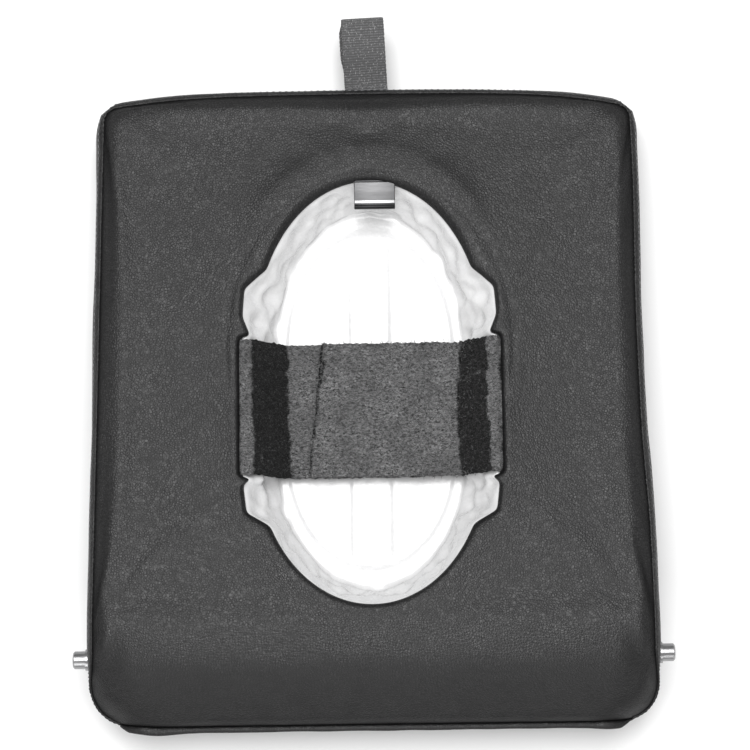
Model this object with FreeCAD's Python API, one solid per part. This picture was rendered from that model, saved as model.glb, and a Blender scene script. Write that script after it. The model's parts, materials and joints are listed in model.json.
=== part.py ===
import FreeCAD, Part

import math
import os

# Wedge-shaped hand-held strike pad lying on its strike face.
# X runs across the pad, Y towards the pull loop, Z up towards the grip side. Millimetres.
# The origin is the centre of the footprint, on the plane that the strike face lies on.

# Driving dimensions of the pad
NOSE_R = 42.0           # rolled base of the pad, around the pivot shaft
SHAFT_Y = -160.0
SHAFT_Z = NOSE_R
WEDGE_DEG = 5.45        # the grip side falls towards the thin end
TOP_Y = 161.6           # outside of the top gusset
HALF_TOP = 155.5        # half widths of the plan at the two ends
HALF_BASE = 161.0
PLAN_BASE_Y = -206.0    # plan outline ends past the nose, so that only its corners show
CORNER_TOP_R = 12.0
CORNER_BASE_R = 30.0
SKIN = 1.4              # leatherette
PIPE_R = 1.5            # welt along the seams of the grip panel
SEAM_DEG = 22.0         # the base seam lies this far above the shaft's level

# Recess, tray and board, measured in the plane of the grip panel
OVAL_HALF = 63.0
OVAL_TOP = 107.0
OVAL_TOP_CENTRE = 20.0
OVAL_BASE = -131.0
OVAL_BASE_CENTRE = -50.0
EAR_HALF = 70.5
EAR_TOP = 45.0
EAR_BASE = -80.0
EAR_TAPER = 11.0
TRAY_DEPTH = 30.0
TRAY_WALL = 2.0
TRAY_DRAFT = 10.5
FLANGE = 8.0
FLANGE_T = 1.6
BAND_HALF = 12.0        # plain raised band down the middle of the tray
BAND_T = 0.6
BAND_END = 28.0         # the band stops this far inside the oval's ends
BOARD_T = 4.0
BOARD_TOP_DEPTH = TRAY_DEPTH + TRAY_WALL
BOARD_HALF = 144.0
BOARD_TOP_V = 150.0
BOARD_BASE_V = -143.0
FOAM_SPLIT_Y = -147.5   # the base roll of foam starts here

# Strap
STRAP_W = 76.0
STRAP_V = -20.8
STRAP_T = 2.4
SLOT_U = 72.2           # where both straps come up out of the pad
STRAP_RIM_W = 0.2
STRAP_TURN_U = 66.5
SLOPE_END_U = 47.0
LEFT_LEVEL = -20.5
HOOK_T = 0.8
GAP = 0.3
RIGHT_LEVEL = LEFT_LEVEL + STRAP_T + GAP + HOOK_T
FREE_END_U = -31.0
FREE_END_SLANT = 8.0
LEFT_END_U = 30.0
STRAP_FOOT_U = 92.0
SLOT_IN = 1.6           # the slot reaches this far inwards and outwards of the strap
SLOT_OUT = 2.0

# Spring clip
CLIP_U = 3.8
CLIP_W = 23.0
CLIP_T = 1.0
CLIP_TIP_V = 92.5
CLIP_RISE = 0.8         # the clip bridges the tray's rim at this height
CLIP_ROOT_V = OVAL_TOP - 0.6

# Pull loop
WEB_W = 25.0
WEB_T = 1.4
LOOP_Z = 30.0
LOOP_TIP_Y = 202.0
LOOP_ROOT_Y = 168.0
LOOP_LEAN_DEG = 2.6
LOOP_LEAN_RISE = 0.5    # the leaning tip's corner stands this much higher
LOOP_SEWN = 5.0         # sewn flat this far past the bend line
LOOP_TIP_R = 5.6

# Shaft and bearings
SHAFT_R = 6.0
END_R = 5.0
SHAFT_HALF = 168.5
SHOULDER_X = 161.5
END_CHAMFER = 0.8
TUBE_R = 10.0
TUBE_BORE_R = 8.0
TUBE_HALF = 150.0
BUSH_LEN = 12.0
BUSH_FLANGE_T = 1.5
RUN_CLEARANCE = 0.05
RING_X = 152.0
RING_T = 1.0
RING_R = 8.5
GROOVE_R = 5.4
BRACKET_X = 110.0
BRACKET_W = 24.0
BRACKET_T = 3.0
BRACKET_END_V = -112.0

FAR = 400.0
WEDGE = math.radians(WEDGE_DEG)
GRIP_Z0 = SHAFT_Z + (NOSE_R + SHAFT_Y * math.sin(WEDGE)) / math.cos(WEDGE)


def vec(x, y, z):
    return FreeCAD.Vector(x, y, z)


def to_row(shape):
    """Place a shape drawn in the grip plane's own frame (u across, v up, w out of the pad)."""
    placed = shape.copy()
    placed.Placement = FreeCAD.Placement(vec(0, 0, GRIP_Z0), FreeCAD.Rotation(vec(1, 0, 0), -WEDGE_DEG))
    return placed


def box(lo, hi):
    return Part.makeBox(hi[0] - lo[0], hi[1] - lo[1], hi[2] - lo[2], vec(*lo))


def cylinder(radius, start, end):
    axis = vec(*end) - vec(*start)
    return Part.makeCylinder(radius, axis.Length, vec(*start), axis)


def cut_all(shape, tools):
    for tool in tools:
        shape = shape.cut(tool)
    return shape


def fuse_all(shapes):
    whole = shapes[0]
    for shape in shapes[1:]:
        whole = whole.fuse(shape)
    return whole.removeSplitter()


def mirrored(shape):
    return shape.mirror(vec(0, 0, 0), vec(1, 0, 0))


def pair(shape):
    """A solid on the right side and its mirror image on the left."""
    return Part.makeCompound([shape, mirrored(shape)])


def polygon(points):
    return Part.makePolygon(points + [points[0]])


def ribbon(points, thickness):
    """Outline, in a plane, of a strip of even thickness along a centre line of (a, b) points."""
    half = thickness / 2.0
    ahead = []
    for i, point in enumerate(points):
        turns = []
        for a, b in ((i - 1, i), (i, i + 1)):
            if a >= 0 and b < len(points):
                step = (points[b][0] - points[a][0], points[b][1] - points[a][1])
                size = math.hypot(*step)
                turns.append((-step[1] / size, step[0] / size))
        normal = (sum(t[0] for t in turns), sum(t[1] for t in turns))
        size = math.hypot(*normal)
        normal = (normal[0] / size, normal[1] / size)
        mitre = half / (normal[0] * turns[0][0] + normal[1] * turns[0][1])
        ahead.append((normal[0] * mitre, normal[1] * mitre))
    left = [(p[0] + n[0], p[1] + n[1]) for p, n in zip(points, ahead)]
    right = [(p[0] - n[0], p[1] - n[1]) for p, n in zip(points, ahead)]
    return left + right[::-1]


def strip_across_v(points, thickness, v_mid, width):
    """Ribbon drawn in (u, w), as wide as given along v."""
    outline = [vec(u, v_mid - width / 2, w) for u, w in ribbon(points, thickness)]
    return Part.Face(polygon(outline)).extrude(vec(0, width, 0))


def strip_across_u(points, thickness, u_mid, width):
    """Ribbon drawn in (v, w), as wide as given along u."""
    outline = [vec(u_mid - width / 2, v, w) for v, w in ribbon(points, thickness)]
    return Part.Face(polygon(outline)).extrude(vec(width, 0, 0))


# ---- outer form of the pad ----

def side_prism(inset):
    """Wedge with a rolled base, as wide as needed and open past the top end."""
    radius = NOSE_R - inset
    tangent = vec(-FAR, SHAFT_Y + radius * math.sin(WEDGE), SHAFT_Z + radius * math.cos(WEDGE))
    low = vec(-FAR, SHAFT_Y, SHAFT_Z - radius)
    nose = vec(-FAR, SHAFT_Y - radius, SHAFT_Z)
    run = FAR - tangent.y
    high_end = vec(-FAR, FAR, tangent.z - run * math.tan(WEDGE))
    low_end = vec(-FAR, FAR, low.z)
    edges = [
        Part.Arc(low, nose, tangent).toShape(),
        Part.makeLine(tangent, high_end),
        Part.makeLine(high_end, low_end),
        Part.makeLine(low_end, low),
    ]
    return Part.Face(Part.Wire(edges)).extrude(vec(2 * FAR, 0, 0))


def upright_edges(prism, y):
    """Edges of a tall prism that run along Z at the given Y."""
    tall = [e for e in prism.Edges if abs(e.Vertexes[0].Z - e.Vertexes[-1].Z) > FAR]
    return [e for e in tall if abs(e.Vertexes[0].Y - y) < 0.5]


def plan_prism(inset):
    """Trapezoid plan with rounded corners."""
    top = TOP_Y - inset
    base = PLAN_BASE_Y + inset
    corners = [vec(-HALF_BASE + inset, base, -FAR), vec(HALF_BASE - inset, base, -FAR),
               vec(HALF_TOP - inset, top, -FAR), vec(-HALF_TOP + inset, top, -FAR)]
    prism = Part.Face(polygon(corners)).extrude(vec(0, 0, 2 * FAR))
    prism = prism.makeFillet(CORNER_BASE_R - inset, upright_edges(prism, base))
    return prism.makeFillet(CORNER_TOP_R - inset, upright_edges(prism, top))


def oval_wire(inset, depth):
    """Oval of the recess: two half ellipses joined by straight sides, in the grip frame."""
    half = OVAL_HALF - inset
    top_rise = OVAL_TOP - inset - OVAL_TOP_CENTRE
    base_rise = OVAL_BASE_CENTRE - OVAL_BASE - inset
    top_centre = vec(0, OVAL_TOP_CENTRE, depth)
    base_centre = vec(0, OVAL_BASE_CENTRE, depth)
    top = Part.Ellipse(top_centre + vec(0, top_rise, 0), top_centre + vec(half, 0, 0), top_centre)
    base = Part.Ellipse(base_centre - vec(0, base_rise, 0), base_centre - vec(half, 0, 0), base_centre)
    top_arc = Part.ArcOfEllipse(top, -math.pi / 2, math.pi / 2).toShape()
    base_arc = Part.ArcOfEllipse(base, -math.pi / 2, math.pi / 2).toShape()
    sides = [Part.makeLine(vec(s * half, OVAL_TOP_CENTRE, depth), vec(s * half, OVAL_BASE_CENTRE, depth))
             for s in (1, -1)]
    return Part.Wire(Part.__sortEdges__([top_arc, sides[0], base_arc, sides[1]]))


def ear_wire(inset, half, depth):
    """Pockets beside the oval, where the strap goes in."""
    half = half - inset
    neck = half - EAR_TAPER
    top = EAR_TOP - inset / 2
    base = EAR_BASE + inset / 2
    points = [(neck, top + EAR_TAPER), (half, top), (half, base), (neck, base - EAR_TAPER),
              (-neck, base - EAR_TAPER), (-half, base), (-half, top), (-neck, top + EAR_TAPER)]
    return polygon([vec(u, v, depth) for u, v in points])


def recess(inset, top, bottom):
    """Pan-shaped solid between two levels, in the grip frame; its walls lean in towards the floor."""
    oval = Part.makeLoft([oval_wire(inset, top), oval_wire(inset + TRAY_DRAFT, bottom)], True, True)
    ears = Part.makeLoft([ear_wire(inset, EAR_HALF, top),
                          ear_wire(inset, OVAL_HALF - TRAY_DRAFT, bottom)], True, True)
    return oval.fuse(ears)


def straight_recess(inset, bottom, top):
    """Recess outline carried straight up, in the grip frame."""
    rise = vec(0, 0, top - bottom)
    return Part.Face(oval_wire(inset, bottom)).extrude(rise).fuse(
        Part.Face(ear_wire(inset, EAR_HALF, bottom)).extrude(rise))


def strap_slots():
    """Slots beside the recess that the straps come up through, in the grip frame."""
    half = STRAP_W / 2 + 1.0
    slot = box((SLOT_U - SLOT_IN, STRAP_V - half, -BOARD_TOP_DEPTH), (SLOT_U + SLOT_OUT, STRAP_V + half, 5))
    return pair(slot)


def strap_runs():
    """Room for the straps between the recess and the slots, in the grip frame."""
    half = STRAP_W / 2 + 1.0
    inner = OVAL_HALF - TRAY_DRAFT
    return pair(box((inner, STRAP_V - half, -BOARD_TOP_DEPTH), (SLOT_U + SLOT_OUT, STRAP_V + half, 5)))


def clip_notch():
    """Cut in the grip panel that the spring clip shows through, in the grip frame."""
    half = CLIP_W / 2 + 0.8
    return box((CLIP_U - half, CLIP_TIP_V, -5), (CLIP_U + half, OVAL_TOP + 2.5, 5))


# ---- cover ----

def split_cover():
    outer = side_prism(0).common(plan_prism(0))
    inside_plan = plan_prism(SKIN)
    band = outer.cut(inside_plan)
    faces = outer.common(inside_plan).cut(side_prism(SKIN))
    seam = math.radians(SEAM_DEG)
    reach = 2 * NOSE_R
    wedge_points = [vec(-FAR, SHAFT_Y, SHAFT_Z), vec(-FAR, SHAFT_Y, SHAFT_Z - reach),
                    vec(-FAR, SHAFT_Y - reach, SHAFT_Z - reach),
                    vec(-FAR, SHAFT_Y - reach * math.cos(seam), SHAFT_Z + reach * math.sin(seam))]
    base_zone = Part.Face(polygon(wedge_points)).extrude(vec(2 * FAR, 0, 0))
    strike_zone = box((-FAR, SHAFT_Y, -1), (FAR, FAR, SKIN + 1))
    top_zone = box((-HALF_TOP + CORNER_TOP_R, TOP_Y - 10, -1), (HALF_TOP - CORNER_TOP_R, TOP_Y + 10, FAR))
    return {
        "strike_panel": faces.common(strike_zone),
        "bottom_gusset": faces.common(base_zone),
        "grip_panel": faces.cut(base_zone).cut(strike_zone),
        "top_gusset": band.common(top_zone),
        "left_gusset": band.cut(top_zone).common(box((-FAR, -FAR, -1), (0, FAR, FAR))),
        "right_gusset": band.cut(top_zone).common(box((0, -FAR, -1), (FAR, FAR, FAR))),
    }


def edge_piping():
    """Welt around three sides of the grip panel, half sunk in the seam, in the grip frame."""
    inset = PIPE_R
    cos = math.cos(WEDGE)
    top = TOP_Y / cos - inset
    foot = (SHAFT_Y + 6.0) / cos
    slope = (HALF_BASE - HALF_TOP) / (TOP_Y - PLAN_BASE_Y)
    half_foot = HALF_TOP + slope * (TOP_Y - foot * cos) - inset
    radius = CORNER_TOP_R - inset
    half_top = HALF_TOP - inset
    depth = -PIPE_R / 2
    arc_mid = radius * (1 - math.sqrt(0.5))
    edges = [
        Part.makeLine(vec(-half_foot, foot, depth), vec(-half_top, top - radius, depth)),
        Part.Arc(vec(-half_top, top - radius, depth), vec(-half_top + arc_mid, top - arc_mid, depth),
                 vec(-half_top + radius, top, depth)).toShape(),
        Part.makeLine(vec(-half_top + radius, top, depth), vec(half_top - radius, top, depth)),
        Part.Arc(vec(half_top - radius, top, depth), vec(half_top - arc_mid, top - arc_mid, depth),
                 vec(half_top, top - radius, depth)).toShape(),
        Part.makeLine(vec(half_top, top - radius, depth), vec(half_foot, foot, depth)),
    ]
    path = Part.Wire(edges)
    facing = vec(half_foot - half_top, top - radius - foot, 0)
    section = Part.Wire(Part.makeCircle(PIPE_R, vec(-half_foot, foot, depth), facing))
    return path.makePipeShell([section], True, True)


def closure_strip():
    """Rolled strip that closes the base seam."""
    seam = math.radians(SEAM_DEG - 4.0)
    radius = 1.8
    reach = NOSE_R - radius
    y = SHAFT_Y - reach * math.cos(seam)
    z = SHAFT_Z + reach * math.sin(seam)
    return cylinder(radius, (-145, y, z), (145, y, z))


# ---- pivot shaft ----

def shaft():
    body = cylinder(SHAFT_R, (-SHOULDER_X, SHAFT_Y, SHAFT_Z), (SHOULDER_X, SHAFT_Y, SHAFT_Z))
    ends = cylinder(END_R, (-SHAFT_HALF, SHAFT_Y, SHAFT_Z), (SHAFT_HALF, SHAFT_Y, SHAFT_Z))
    rims = [e for e in ends.Edges if isinstance(e.Curve, Part.Circle)]
    whole = body.fuse(ends.makeChamfer(END_CHAMFER, rims))
    for side in (-1, 1):
        whole = whole.cut(ring_blank(side, SHAFT_R + 1))
    return whole


def ring_blank(side, outer_radius):
    start = (side * RING_X, SHAFT_Y, SHAFT_Z)
    end = (side * (RING_X + RING_T), SHAFT_Y, SHAFT_Z)
    return cylinder(outer_radius, start, end).cut(cylinder(GROOVE_R, start, end))


def bearing_tube():
    ends = ((-TUBE_HALF, SHAFT_Y, SHAFT_Z), (TUBE_HALF, SHAFT_Y, SHAFT_Z))
    return cylinder(TUBE_R, *ends).cut(cylinder(TUBE_BORE_R, *ends))


def bush(side):
    def at(x):
        return (side * x, SHAFT_Y, SHAFT_Z)
    sleeve = cylinder(TUBE_BORE_R, at(TUBE_HALF - BUSH_LEN), at(TUBE_HALF))
    flange = cylinder(TUBE_R, at(TUBE_HALF), at(TUBE_HALF + BUSH_FLANGE_T))
    bore = cylinder(SHAFT_R + RUN_CLEARANCE, at(0), at(FAR))
    return sleeve.fuse(flange).cut(bore)


def board_screw_spots():
    """Screw places (u, v) of the two tube brackets."""
    return [(side * BRACKET_X + du, BRACKET_END_V - 12) for side in (-1, 1) for du in (-7, 7)]


def bracket(side):
    """Strap bracket: a ring around the tube and a tongue screwed under the board."""
    x = side * BRACKET_X - BRACKET_W / 2
    ring = cylinder(TUBE_R + BRACKET_T, (x, SHAFT_Y, SHAFT_Z), (x + BRACKET_W, SHAFT_Y, SHAFT_Z))
    under = -BOARD_TOP_DEPTH - BOARD_T
    root_v = (SHAFT_Y + TUBE_R) / math.cos(WEDGE)
    tongue = to_row(box((x, root_v, under - BRACKET_T), (x + BRACKET_W, BRACKET_END_V, under)))
    bore = cylinder(TUBE_R, (x - 1, SHAFT_Y, SHAFT_Z), (x + BRACKET_W + 1, SHAFT_Y, SHAFT_Z))
    return ring.fuse(tongue).cut(bore)


def bolt(u, v, head_top, head_t, head_r, shank_r, length, downwards):
    """Plain headed screw, in the grip frame."""
    sign = -1 if downwards else 1
    head = cylinder(head_r, (u, v, head_top), (u, v, head_top + sign * head_t))
    shank = cylinder(shank_r, (u, v, head_top), (u, v, head_top + sign * length))
    return head.fuse(shank)


def tee_nut(u, v, face, flange_r, barrel_r, bore_r, length, downwards):
    """Flanged nut sunk in the board, in the grip frame."""
    sign = -1 if downwards else 1
    flange = cylinder(flange_r, (u, v, face), (u, v, face + sign * 1.2))
    barrel = cylinder(barrel_r, (u, v, face), (u, v, face + sign * length))
    return flange.fuse(barrel).cut(cylinder(bore_r, (u, v, face - sign), (u, v, face + sign * (length + 1))))


# ---- tray, clip and straps ----

def tray():
    pan = recess(0, -SKIN, -BOARD_TOP_DEPTH)
    hollow = recess(TRAY_WALL, -SKIN, -TRAY_DEPTH)
    rim = straight_recess(-FLANGE, -SKIN - FLANGE_T, -SKIN).cut(straight_recess(TRAY_WALL, -SKIN - 5, 0))
    band = box((-BAND_HALF, OVAL_BASE + BAND_END, -TRAY_DEPTH - 0.5),
               (BAND_HALF, OVAL_TOP - BAND_END, -TRAY_DEPTH + BAND_T))
    return fuse_all([pan.cut(hollow), rim.cut(hollow), band]).cut(strap_slots())


def clip_wall_points():
    """Two points (v, w) of the clip's leg, against the outside of the tray's end wall."""
    lean = math.atan2(TRAY_DRAFT, BOARD_TOP_DEPTH - SKIN)
    offset = CLIP_T / 2 + 0.05
    points = []
    for depth in (3.6, 15.0):
        v = OVAL_TOP - (depth - SKIN) * math.tan(lean)
        points.append((v + offset * math.cos(lean), -depth - offset * math.sin(lean)))
    return points


def clip_root():
    upper, lower = clip_wall_points()
    bridge = [(CLIP_ROOT_V, CLIP_RISE), (upper[0] + 0.6, CLIP_RISE)]
    leg = strip_across_u(bridge + [upper, lower], CLIP_T, CLIP_U, CLIP_W)
    return leg


def clip_leaf():
    leaf = [(CLIP_ROOT_V - GAP, CLIP_RISE), (CLIP_TIP_V + 4.0, CLIP_RISE - 1.2)]
    lip = [(CLIP_TIP_V + 1.4, -2.2), (CLIP_TIP_V + 0.6, -4.6), (CLIP_TIP_V + 2.2, -6.6)]
    return strip_across_u(leaf + lip, CLIP_T, CLIP_U, CLIP_W)


def clip_rivet(u):
    upper, lower = clip_wall_points()
    lean = math.atan2(upper[0] - lower[0], upper[1] - lower[1])
    mid_v = (upper[0] + lower[0]) / 2
    mid_w = (upper[1] + lower[1]) / 2
    out = (math.cos(lean), -math.sin(lean))

    def at(distance):
        return (u, mid_v + out[0] * distance, mid_w + out[1] * distance)
    outside = CLIP_T / 2
    inside = -outside - TRAY_WALL - 0.6
    shank = cylinder(1.5, at(inside), at(outside))
    heads = [cylinder(3.0, at(outside), at(outside + 1.0)), cylinder(3.0, at(inside - 0.8), at(inside))]
    return fuse_all([shank] + heads)


def strap_left():
    points = [(-STRAP_FOOT_U, -BOARD_TOP_DEPTH + STRAP_T / 2), (-SLOT_U, -BOARD_TOP_DEPTH + STRAP_T / 2),
              (-SLOT_U, STRAP_RIM_W), (-STRAP_TURN_U, STRAP_RIM_W), (-SLOPE_END_U, LEFT_LEVEL),
              (LEFT_END_U, LEFT_LEVEL)]
    return strip_across_v(points, STRAP_T, STRAP_V, STRAP_W)


def strap_right():
    points = [(SLOT_U, STRAP_RIM_W), (STRAP_TURN_U, STRAP_RIM_W), (SLOPE_END_U + 3, RIGHT_LEVEL),
              (FREE_END_U - FREE_END_SLANT, RIGHT_LEVEL)]
    whole = strip_across_v(points, STRAP_T, STRAP_V, STRAP_W)
    top = STRAP_V + STRAP_W / 2
    base = STRAP_V - STRAP_W / 2
    waste = polygon([vec(FREE_END_U + FREE_END_SLANT / 2, top + 1, -FAR),
                     vec(FREE_END_U - FREE_END_SLANT / 2, base - 1, -FAR),
                     vec(-FAR, base - 1, -FAR), vec(-FAR, top + 1, -FAR)])
    return whole.cut(Part.Face(waste).extrude(vec(0, 0, 2 * FAR)))


def strap_right_root():
    points = [(STRAP_FOOT_U, -BOARD_TOP_DEPTH + STRAP_T / 2), (SLOT_U, -BOARD_TOP_DEPTH + STRAP_T / 2),
              (SLOT_U, STRAP_RIM_W - STRAP_T / 2 - GAP)]
    return strip_across_v(points, STRAP_T, STRAP_V, STRAP_W)


def hook_patch():
    under = RIGHT_LEVEL - STRAP_T / 2
    return box((FREE_END_U + 6, STRAP_V - STRAP_W / 2 + 4, under - HOOK_T),
               (LEFT_END_U - 6, STRAP_V + STRAP_W / 2 - 4, under))


def strap_bar():
    """Flat bar that clamps the right strap's foot on the board."""
    low = -BOARD_TOP_DEPTH + STRAP_T
    return box((STRAP_FOOT_U - 13, STRAP_V - STRAP_W / 2 - 4, low),
               (STRAP_FOOT_U - 1, STRAP_V + STRAP_W / 2 + 4, low + 2.5))


def bar_screw(v):
    top = -BOARD_TOP_DEPTH + STRAP_T + 2.5 + 2.0
    return bolt(STRAP_FOOT_U - 7, v, top, 2.0, 3.6, 2.0, 2.0 + 2.5 + STRAP_T + BOARD_T, True)


def tray_screw(u):
    """Pan-head screw through the tray's floor, under the strap."""
    head_t = 1.8
    return bolt(u, STRAP_V, -TRAY_DEPTH + head_t, head_t, 4.0, 2.0, head_t + TRAY_WALL + BOARD_T, True)


def tray_nut(u):
    return tee_nut(u, STRAP_V, -BOARD_TOP_DEPTH - BOARD_T, 6.0, 3.0, 2.0, BOARD_T, False)


# ---- pull loop ----

def lean_loop(shape):
    placed = shape.copy()
    placed.rotate(vec(0, TOP_Y, LOOP_Z), vec(0, 0, 1), LOOP_LEAN_DEG)
    return placed


def loop_root():
    """Both ends of the webbing, stitched flat together at the gusset."""
    end = LOOP_ROOT_Y - WEB_T - GAP
    stub = box((-WEB_W / 2, TOP_Y - 3, LOOP_Z - WEB_T), (WEB_W / 2, end, LOOP_Z + WEB_T))
    return lean_loop(stub).cut(box((-FAR, -FAR, -FAR), (FAR, TOP_Y, FAR)))


def teardrop(inset):
    """Side outline of the loop: round at the tip, coming together round the bend line at the root."""
    radius = LOOP_TIP_R - inset
    centre_y = LOOP_TIP_Y - LOOP_TIP_R - LOOP_LEAN_RISE
    x = -WEB_W / 2
    top = vec(x, centre_y, LOOP_Z + radius)
    base = vec(x, centre_y, LOOP_Z - radius)
    edges = [Part.Arc(base, vec(x, centre_y + radius, LOOP_Z), top).toShape()]
    if inset:
        tip = vec(x, LOOP_ROOT_Y + LOOP_SEWN, LOOP_Z)
        edges += [Part.makeLine(top, tip), Part.makeLine(tip, base)]
    else:
        high = vec(x, LOOP_ROOT_Y, LOOP_Z + WEB_T)
        low = vec(x, LOOP_ROOT_Y, LOOP_Z - WEB_T)
        bend = Part.Arc(high, vec(x, LOOP_ROOT_Y - WEB_T, LOOP_Z), low).toShape()
        edges += [Part.makeLine(top, high), bend, Part.makeLine(low, base)]
    return Part.Face(Part.Wire(edges)).extrude(vec(WEB_W, 0, 0))


def hang_loop():
    return lean_loop(teardrop(0).cut(teardrop(WEB_T)))


# ---- assembly ----

def foams(board, obstacles):
    inner = side_prism(SKIN).common(plan_prism(SKIN))
    over_board = to_row(box((-FAR, -FAR, -BOARD_TOP_DEPTH), (FAR, FAR, FAR)))
    roll_zone = box((-FAR, -FAR, -FAR), (FAR, FOAM_SPLIT_Y, FAR))
    rest = inner.cut(roll_zone)
    pocket = to_row(recess(0, -SKIN, -BOARD_TOP_DEPTH))
    flange = to_row(straight_recess(-FLANGE, -SKIN - FLANGE_T, 5))
    grip = cut_all(rest.common(over_board), [pocket, flange, to_row(strap_runs())] + obstacles)
    strike = cut_all(rest.cut(over_board).cut(board), obstacles)
    end_room = [cylinder(TUBE_R + 0.5, (s * TUBE_HALF, SHAFT_Y, SHAFT_Z), (s * FAR, SHAFT_Y, SHAFT_Z))
                for s in (-1, 1)]
    roll = cut_all(inner.common(roll_zone), obstacles + end_room
                   + [cylinder(TUBE_R, (-TUBE_HALF, SHAFT_Y, SHAFT_Z), (TUBE_HALF, SHAFT_Y, SHAFT_Z))])
    return {"strike_foam": strike, "grip_foam": grip, "base_roll": roll}


def build():
    nodes = split_cover()
    piping = to_row(edge_piping())
    strip = closure_strip()
    for name in list(nodes):
        nodes[name] = cut_all(nodes[name], [piping, strip])
    shaft_room = cylinder(SHAFT_R + 0.4, (-FAR, SHAFT_Y, SHAFT_Z), (FAR, SHAFT_Y, SHAFT_Z))
    for name in ("left_gusset", "right_gusset"):
        nodes[name] = nodes[name].cut(shaft_room)
    nodes["edge_piping"] = piping
    nodes["closure_strip"] = strip

    board = to_row(box((-BOARD_HALF, BOARD_BASE_V, -BOARD_TOP_DEPTH - BOARD_T),
                       (BOARD_HALF, BOARD_TOP_V, -BOARD_TOP_DEPTH)))
    under = -BOARD_TOP_DEPTH - BOARD_T
    brackets = {"left_bracket": bracket(-1), "right_bracket": bracket(1)}
    bracket_screws = to_row(Part.makeCompound(
        [bolt(u, v, under - BRACKET_T - 2.0, 2.0, 4.0, 2.0, 2.0 + BRACKET_T + BOARD_T, False)
         for u, v in board_screw_spots()]))
    bracket_nuts = to_row(Part.makeCompound(
        [tee_nut(u, v, -BOARD_TOP_DEPTH, 6.0, 3.0, 2.0, BOARD_T, True) for u, v in board_screw_spots()]))
    tray_screws = to_row(pair(tray_screw(24.0)))
    tray_nuts = to_row(pair(tray_nut(24.0)))
    bar_screws = to_row(pair(Part.makeCompound([bar_screw(STRAP_V + dv) for dv in (-34, 34)])))
    rivets = to_row(Part.makeCompound([clip_rivet(CLIP_U + du) for du in (-6, 6)]))
    fixings = [bracket_screws, bracket_nuts, tray_screws, tray_nuts, bar_screws]

    left = to_row(strap_left())
    right_root = to_row(strap_right_root())
    bars = to_row(pair(strap_bar()))
    root = to_row(clip_root())
    stubs = [left, right_root, bars, root, rivets]

    nodes["tray"] = cut_all(to_row(tray()), [tray_screws, rivets, root])
    nodes["clip_root"] = root.cut(rivets)
    nodes["clip_leaf"] = to_row(clip_leaf())
    nodes["clip_rivets"] = rivets
    nodes["strap_left"] = left.cut(bar_screws)
    nodes["strap_right_root"] = right_root.cut(bar_screws)
    nodes["strap_right"] = to_row(strap_right())
    nodes["hook_patch"] = to_row(hook_patch())
    nodes["strap_bars"] = bars.cut(bar_screws)
    nodes["bar_screws"] = bar_screws
    nodes["tray_screws"] = tray_screws
    nodes["tray_nuts"] = tray_nuts
    nodes["back_board"] = cut_all(board, fixings)
    nodes["bearing_tube"] = bearing_tube()
    nodes["left_bush"] = bush(-1)
    nodes["right_bush"] = bush(1)
    for name, shape in brackets.items():
        nodes[name] = shape.cut(bracket_screws)
    nodes["bracket_screws"] = bracket_screws
    nodes["bracket_nuts"] = bracket_nuts
    nodes["shaft"] = shaft()
    nodes["retaining_rings"] = Part.makeCompound([ring_blank(s, RING_R) for s in (-1, 1)])
    nodes["loop_root"] = loop_root()
    nodes["hang_loop"] = hang_loop()

    openings = [straight_recess(TRAY_WALL, -SKIN - 1, 5), strap_runs(), clip_notch()]
    nodes["grip_panel"] = cut_all(nodes["grip_panel"], [to_row(shape) for shape in openings])
    obstacles = fixings + stubs + list(brackets.values()) + [piping, strip]
    nodes.update(foams(board, obstacles))
    return nodes


def main():
    os.makedirs("parts", exist_ok=True)
    for name, shape in sorted(build().items()):
        shape.exportStep("parts/" + name + ".step")
        bounds = shape.BoundBox
        print("%-18s solids %2d valid %s volume %10.1f  x %.1f..%.1f y %.1f..%.1f z %.1f..%.1f" % (
            name, len(shape.Solids), shape.isValid(), shape.Volume, bounds.XMin, bounds.XMax,
            bounds.YMin, bounds.YMax, bounds.ZMin, bounds.ZMax))


main()
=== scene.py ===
import json
import math
import random

import bpy
import numpy as np
from mathutils import Matrix, Vector, noise


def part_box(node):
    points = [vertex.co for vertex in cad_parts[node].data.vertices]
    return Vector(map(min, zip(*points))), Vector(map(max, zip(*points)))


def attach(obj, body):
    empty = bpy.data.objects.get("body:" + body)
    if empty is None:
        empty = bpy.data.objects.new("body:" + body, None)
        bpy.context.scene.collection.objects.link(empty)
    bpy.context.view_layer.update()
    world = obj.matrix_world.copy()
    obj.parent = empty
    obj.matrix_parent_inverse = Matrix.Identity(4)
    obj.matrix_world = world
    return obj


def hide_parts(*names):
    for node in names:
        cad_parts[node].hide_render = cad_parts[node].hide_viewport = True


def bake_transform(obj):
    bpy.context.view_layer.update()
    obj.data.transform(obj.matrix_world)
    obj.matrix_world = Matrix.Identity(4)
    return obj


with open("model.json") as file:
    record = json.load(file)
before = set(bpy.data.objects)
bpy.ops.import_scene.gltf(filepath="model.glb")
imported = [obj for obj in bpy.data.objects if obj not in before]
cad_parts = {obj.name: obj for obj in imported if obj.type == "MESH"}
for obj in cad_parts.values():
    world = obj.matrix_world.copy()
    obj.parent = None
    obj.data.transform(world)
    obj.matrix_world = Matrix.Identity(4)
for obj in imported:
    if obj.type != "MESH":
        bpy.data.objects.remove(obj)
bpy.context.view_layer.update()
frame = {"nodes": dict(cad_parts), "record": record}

# The looks of a wedge-shaped strike pad lying on its strike face. Lengths are in metres.
# Shapes on the grip side are drawn in the grip plane's own frame: u across, v along, w out of the pad.

MM = 0.001
JOINTS = {joint["name"]: joint for joint in frame["record"]["behaviour"]["joints"]}
BODY = "shield"
SEED = 7

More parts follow.
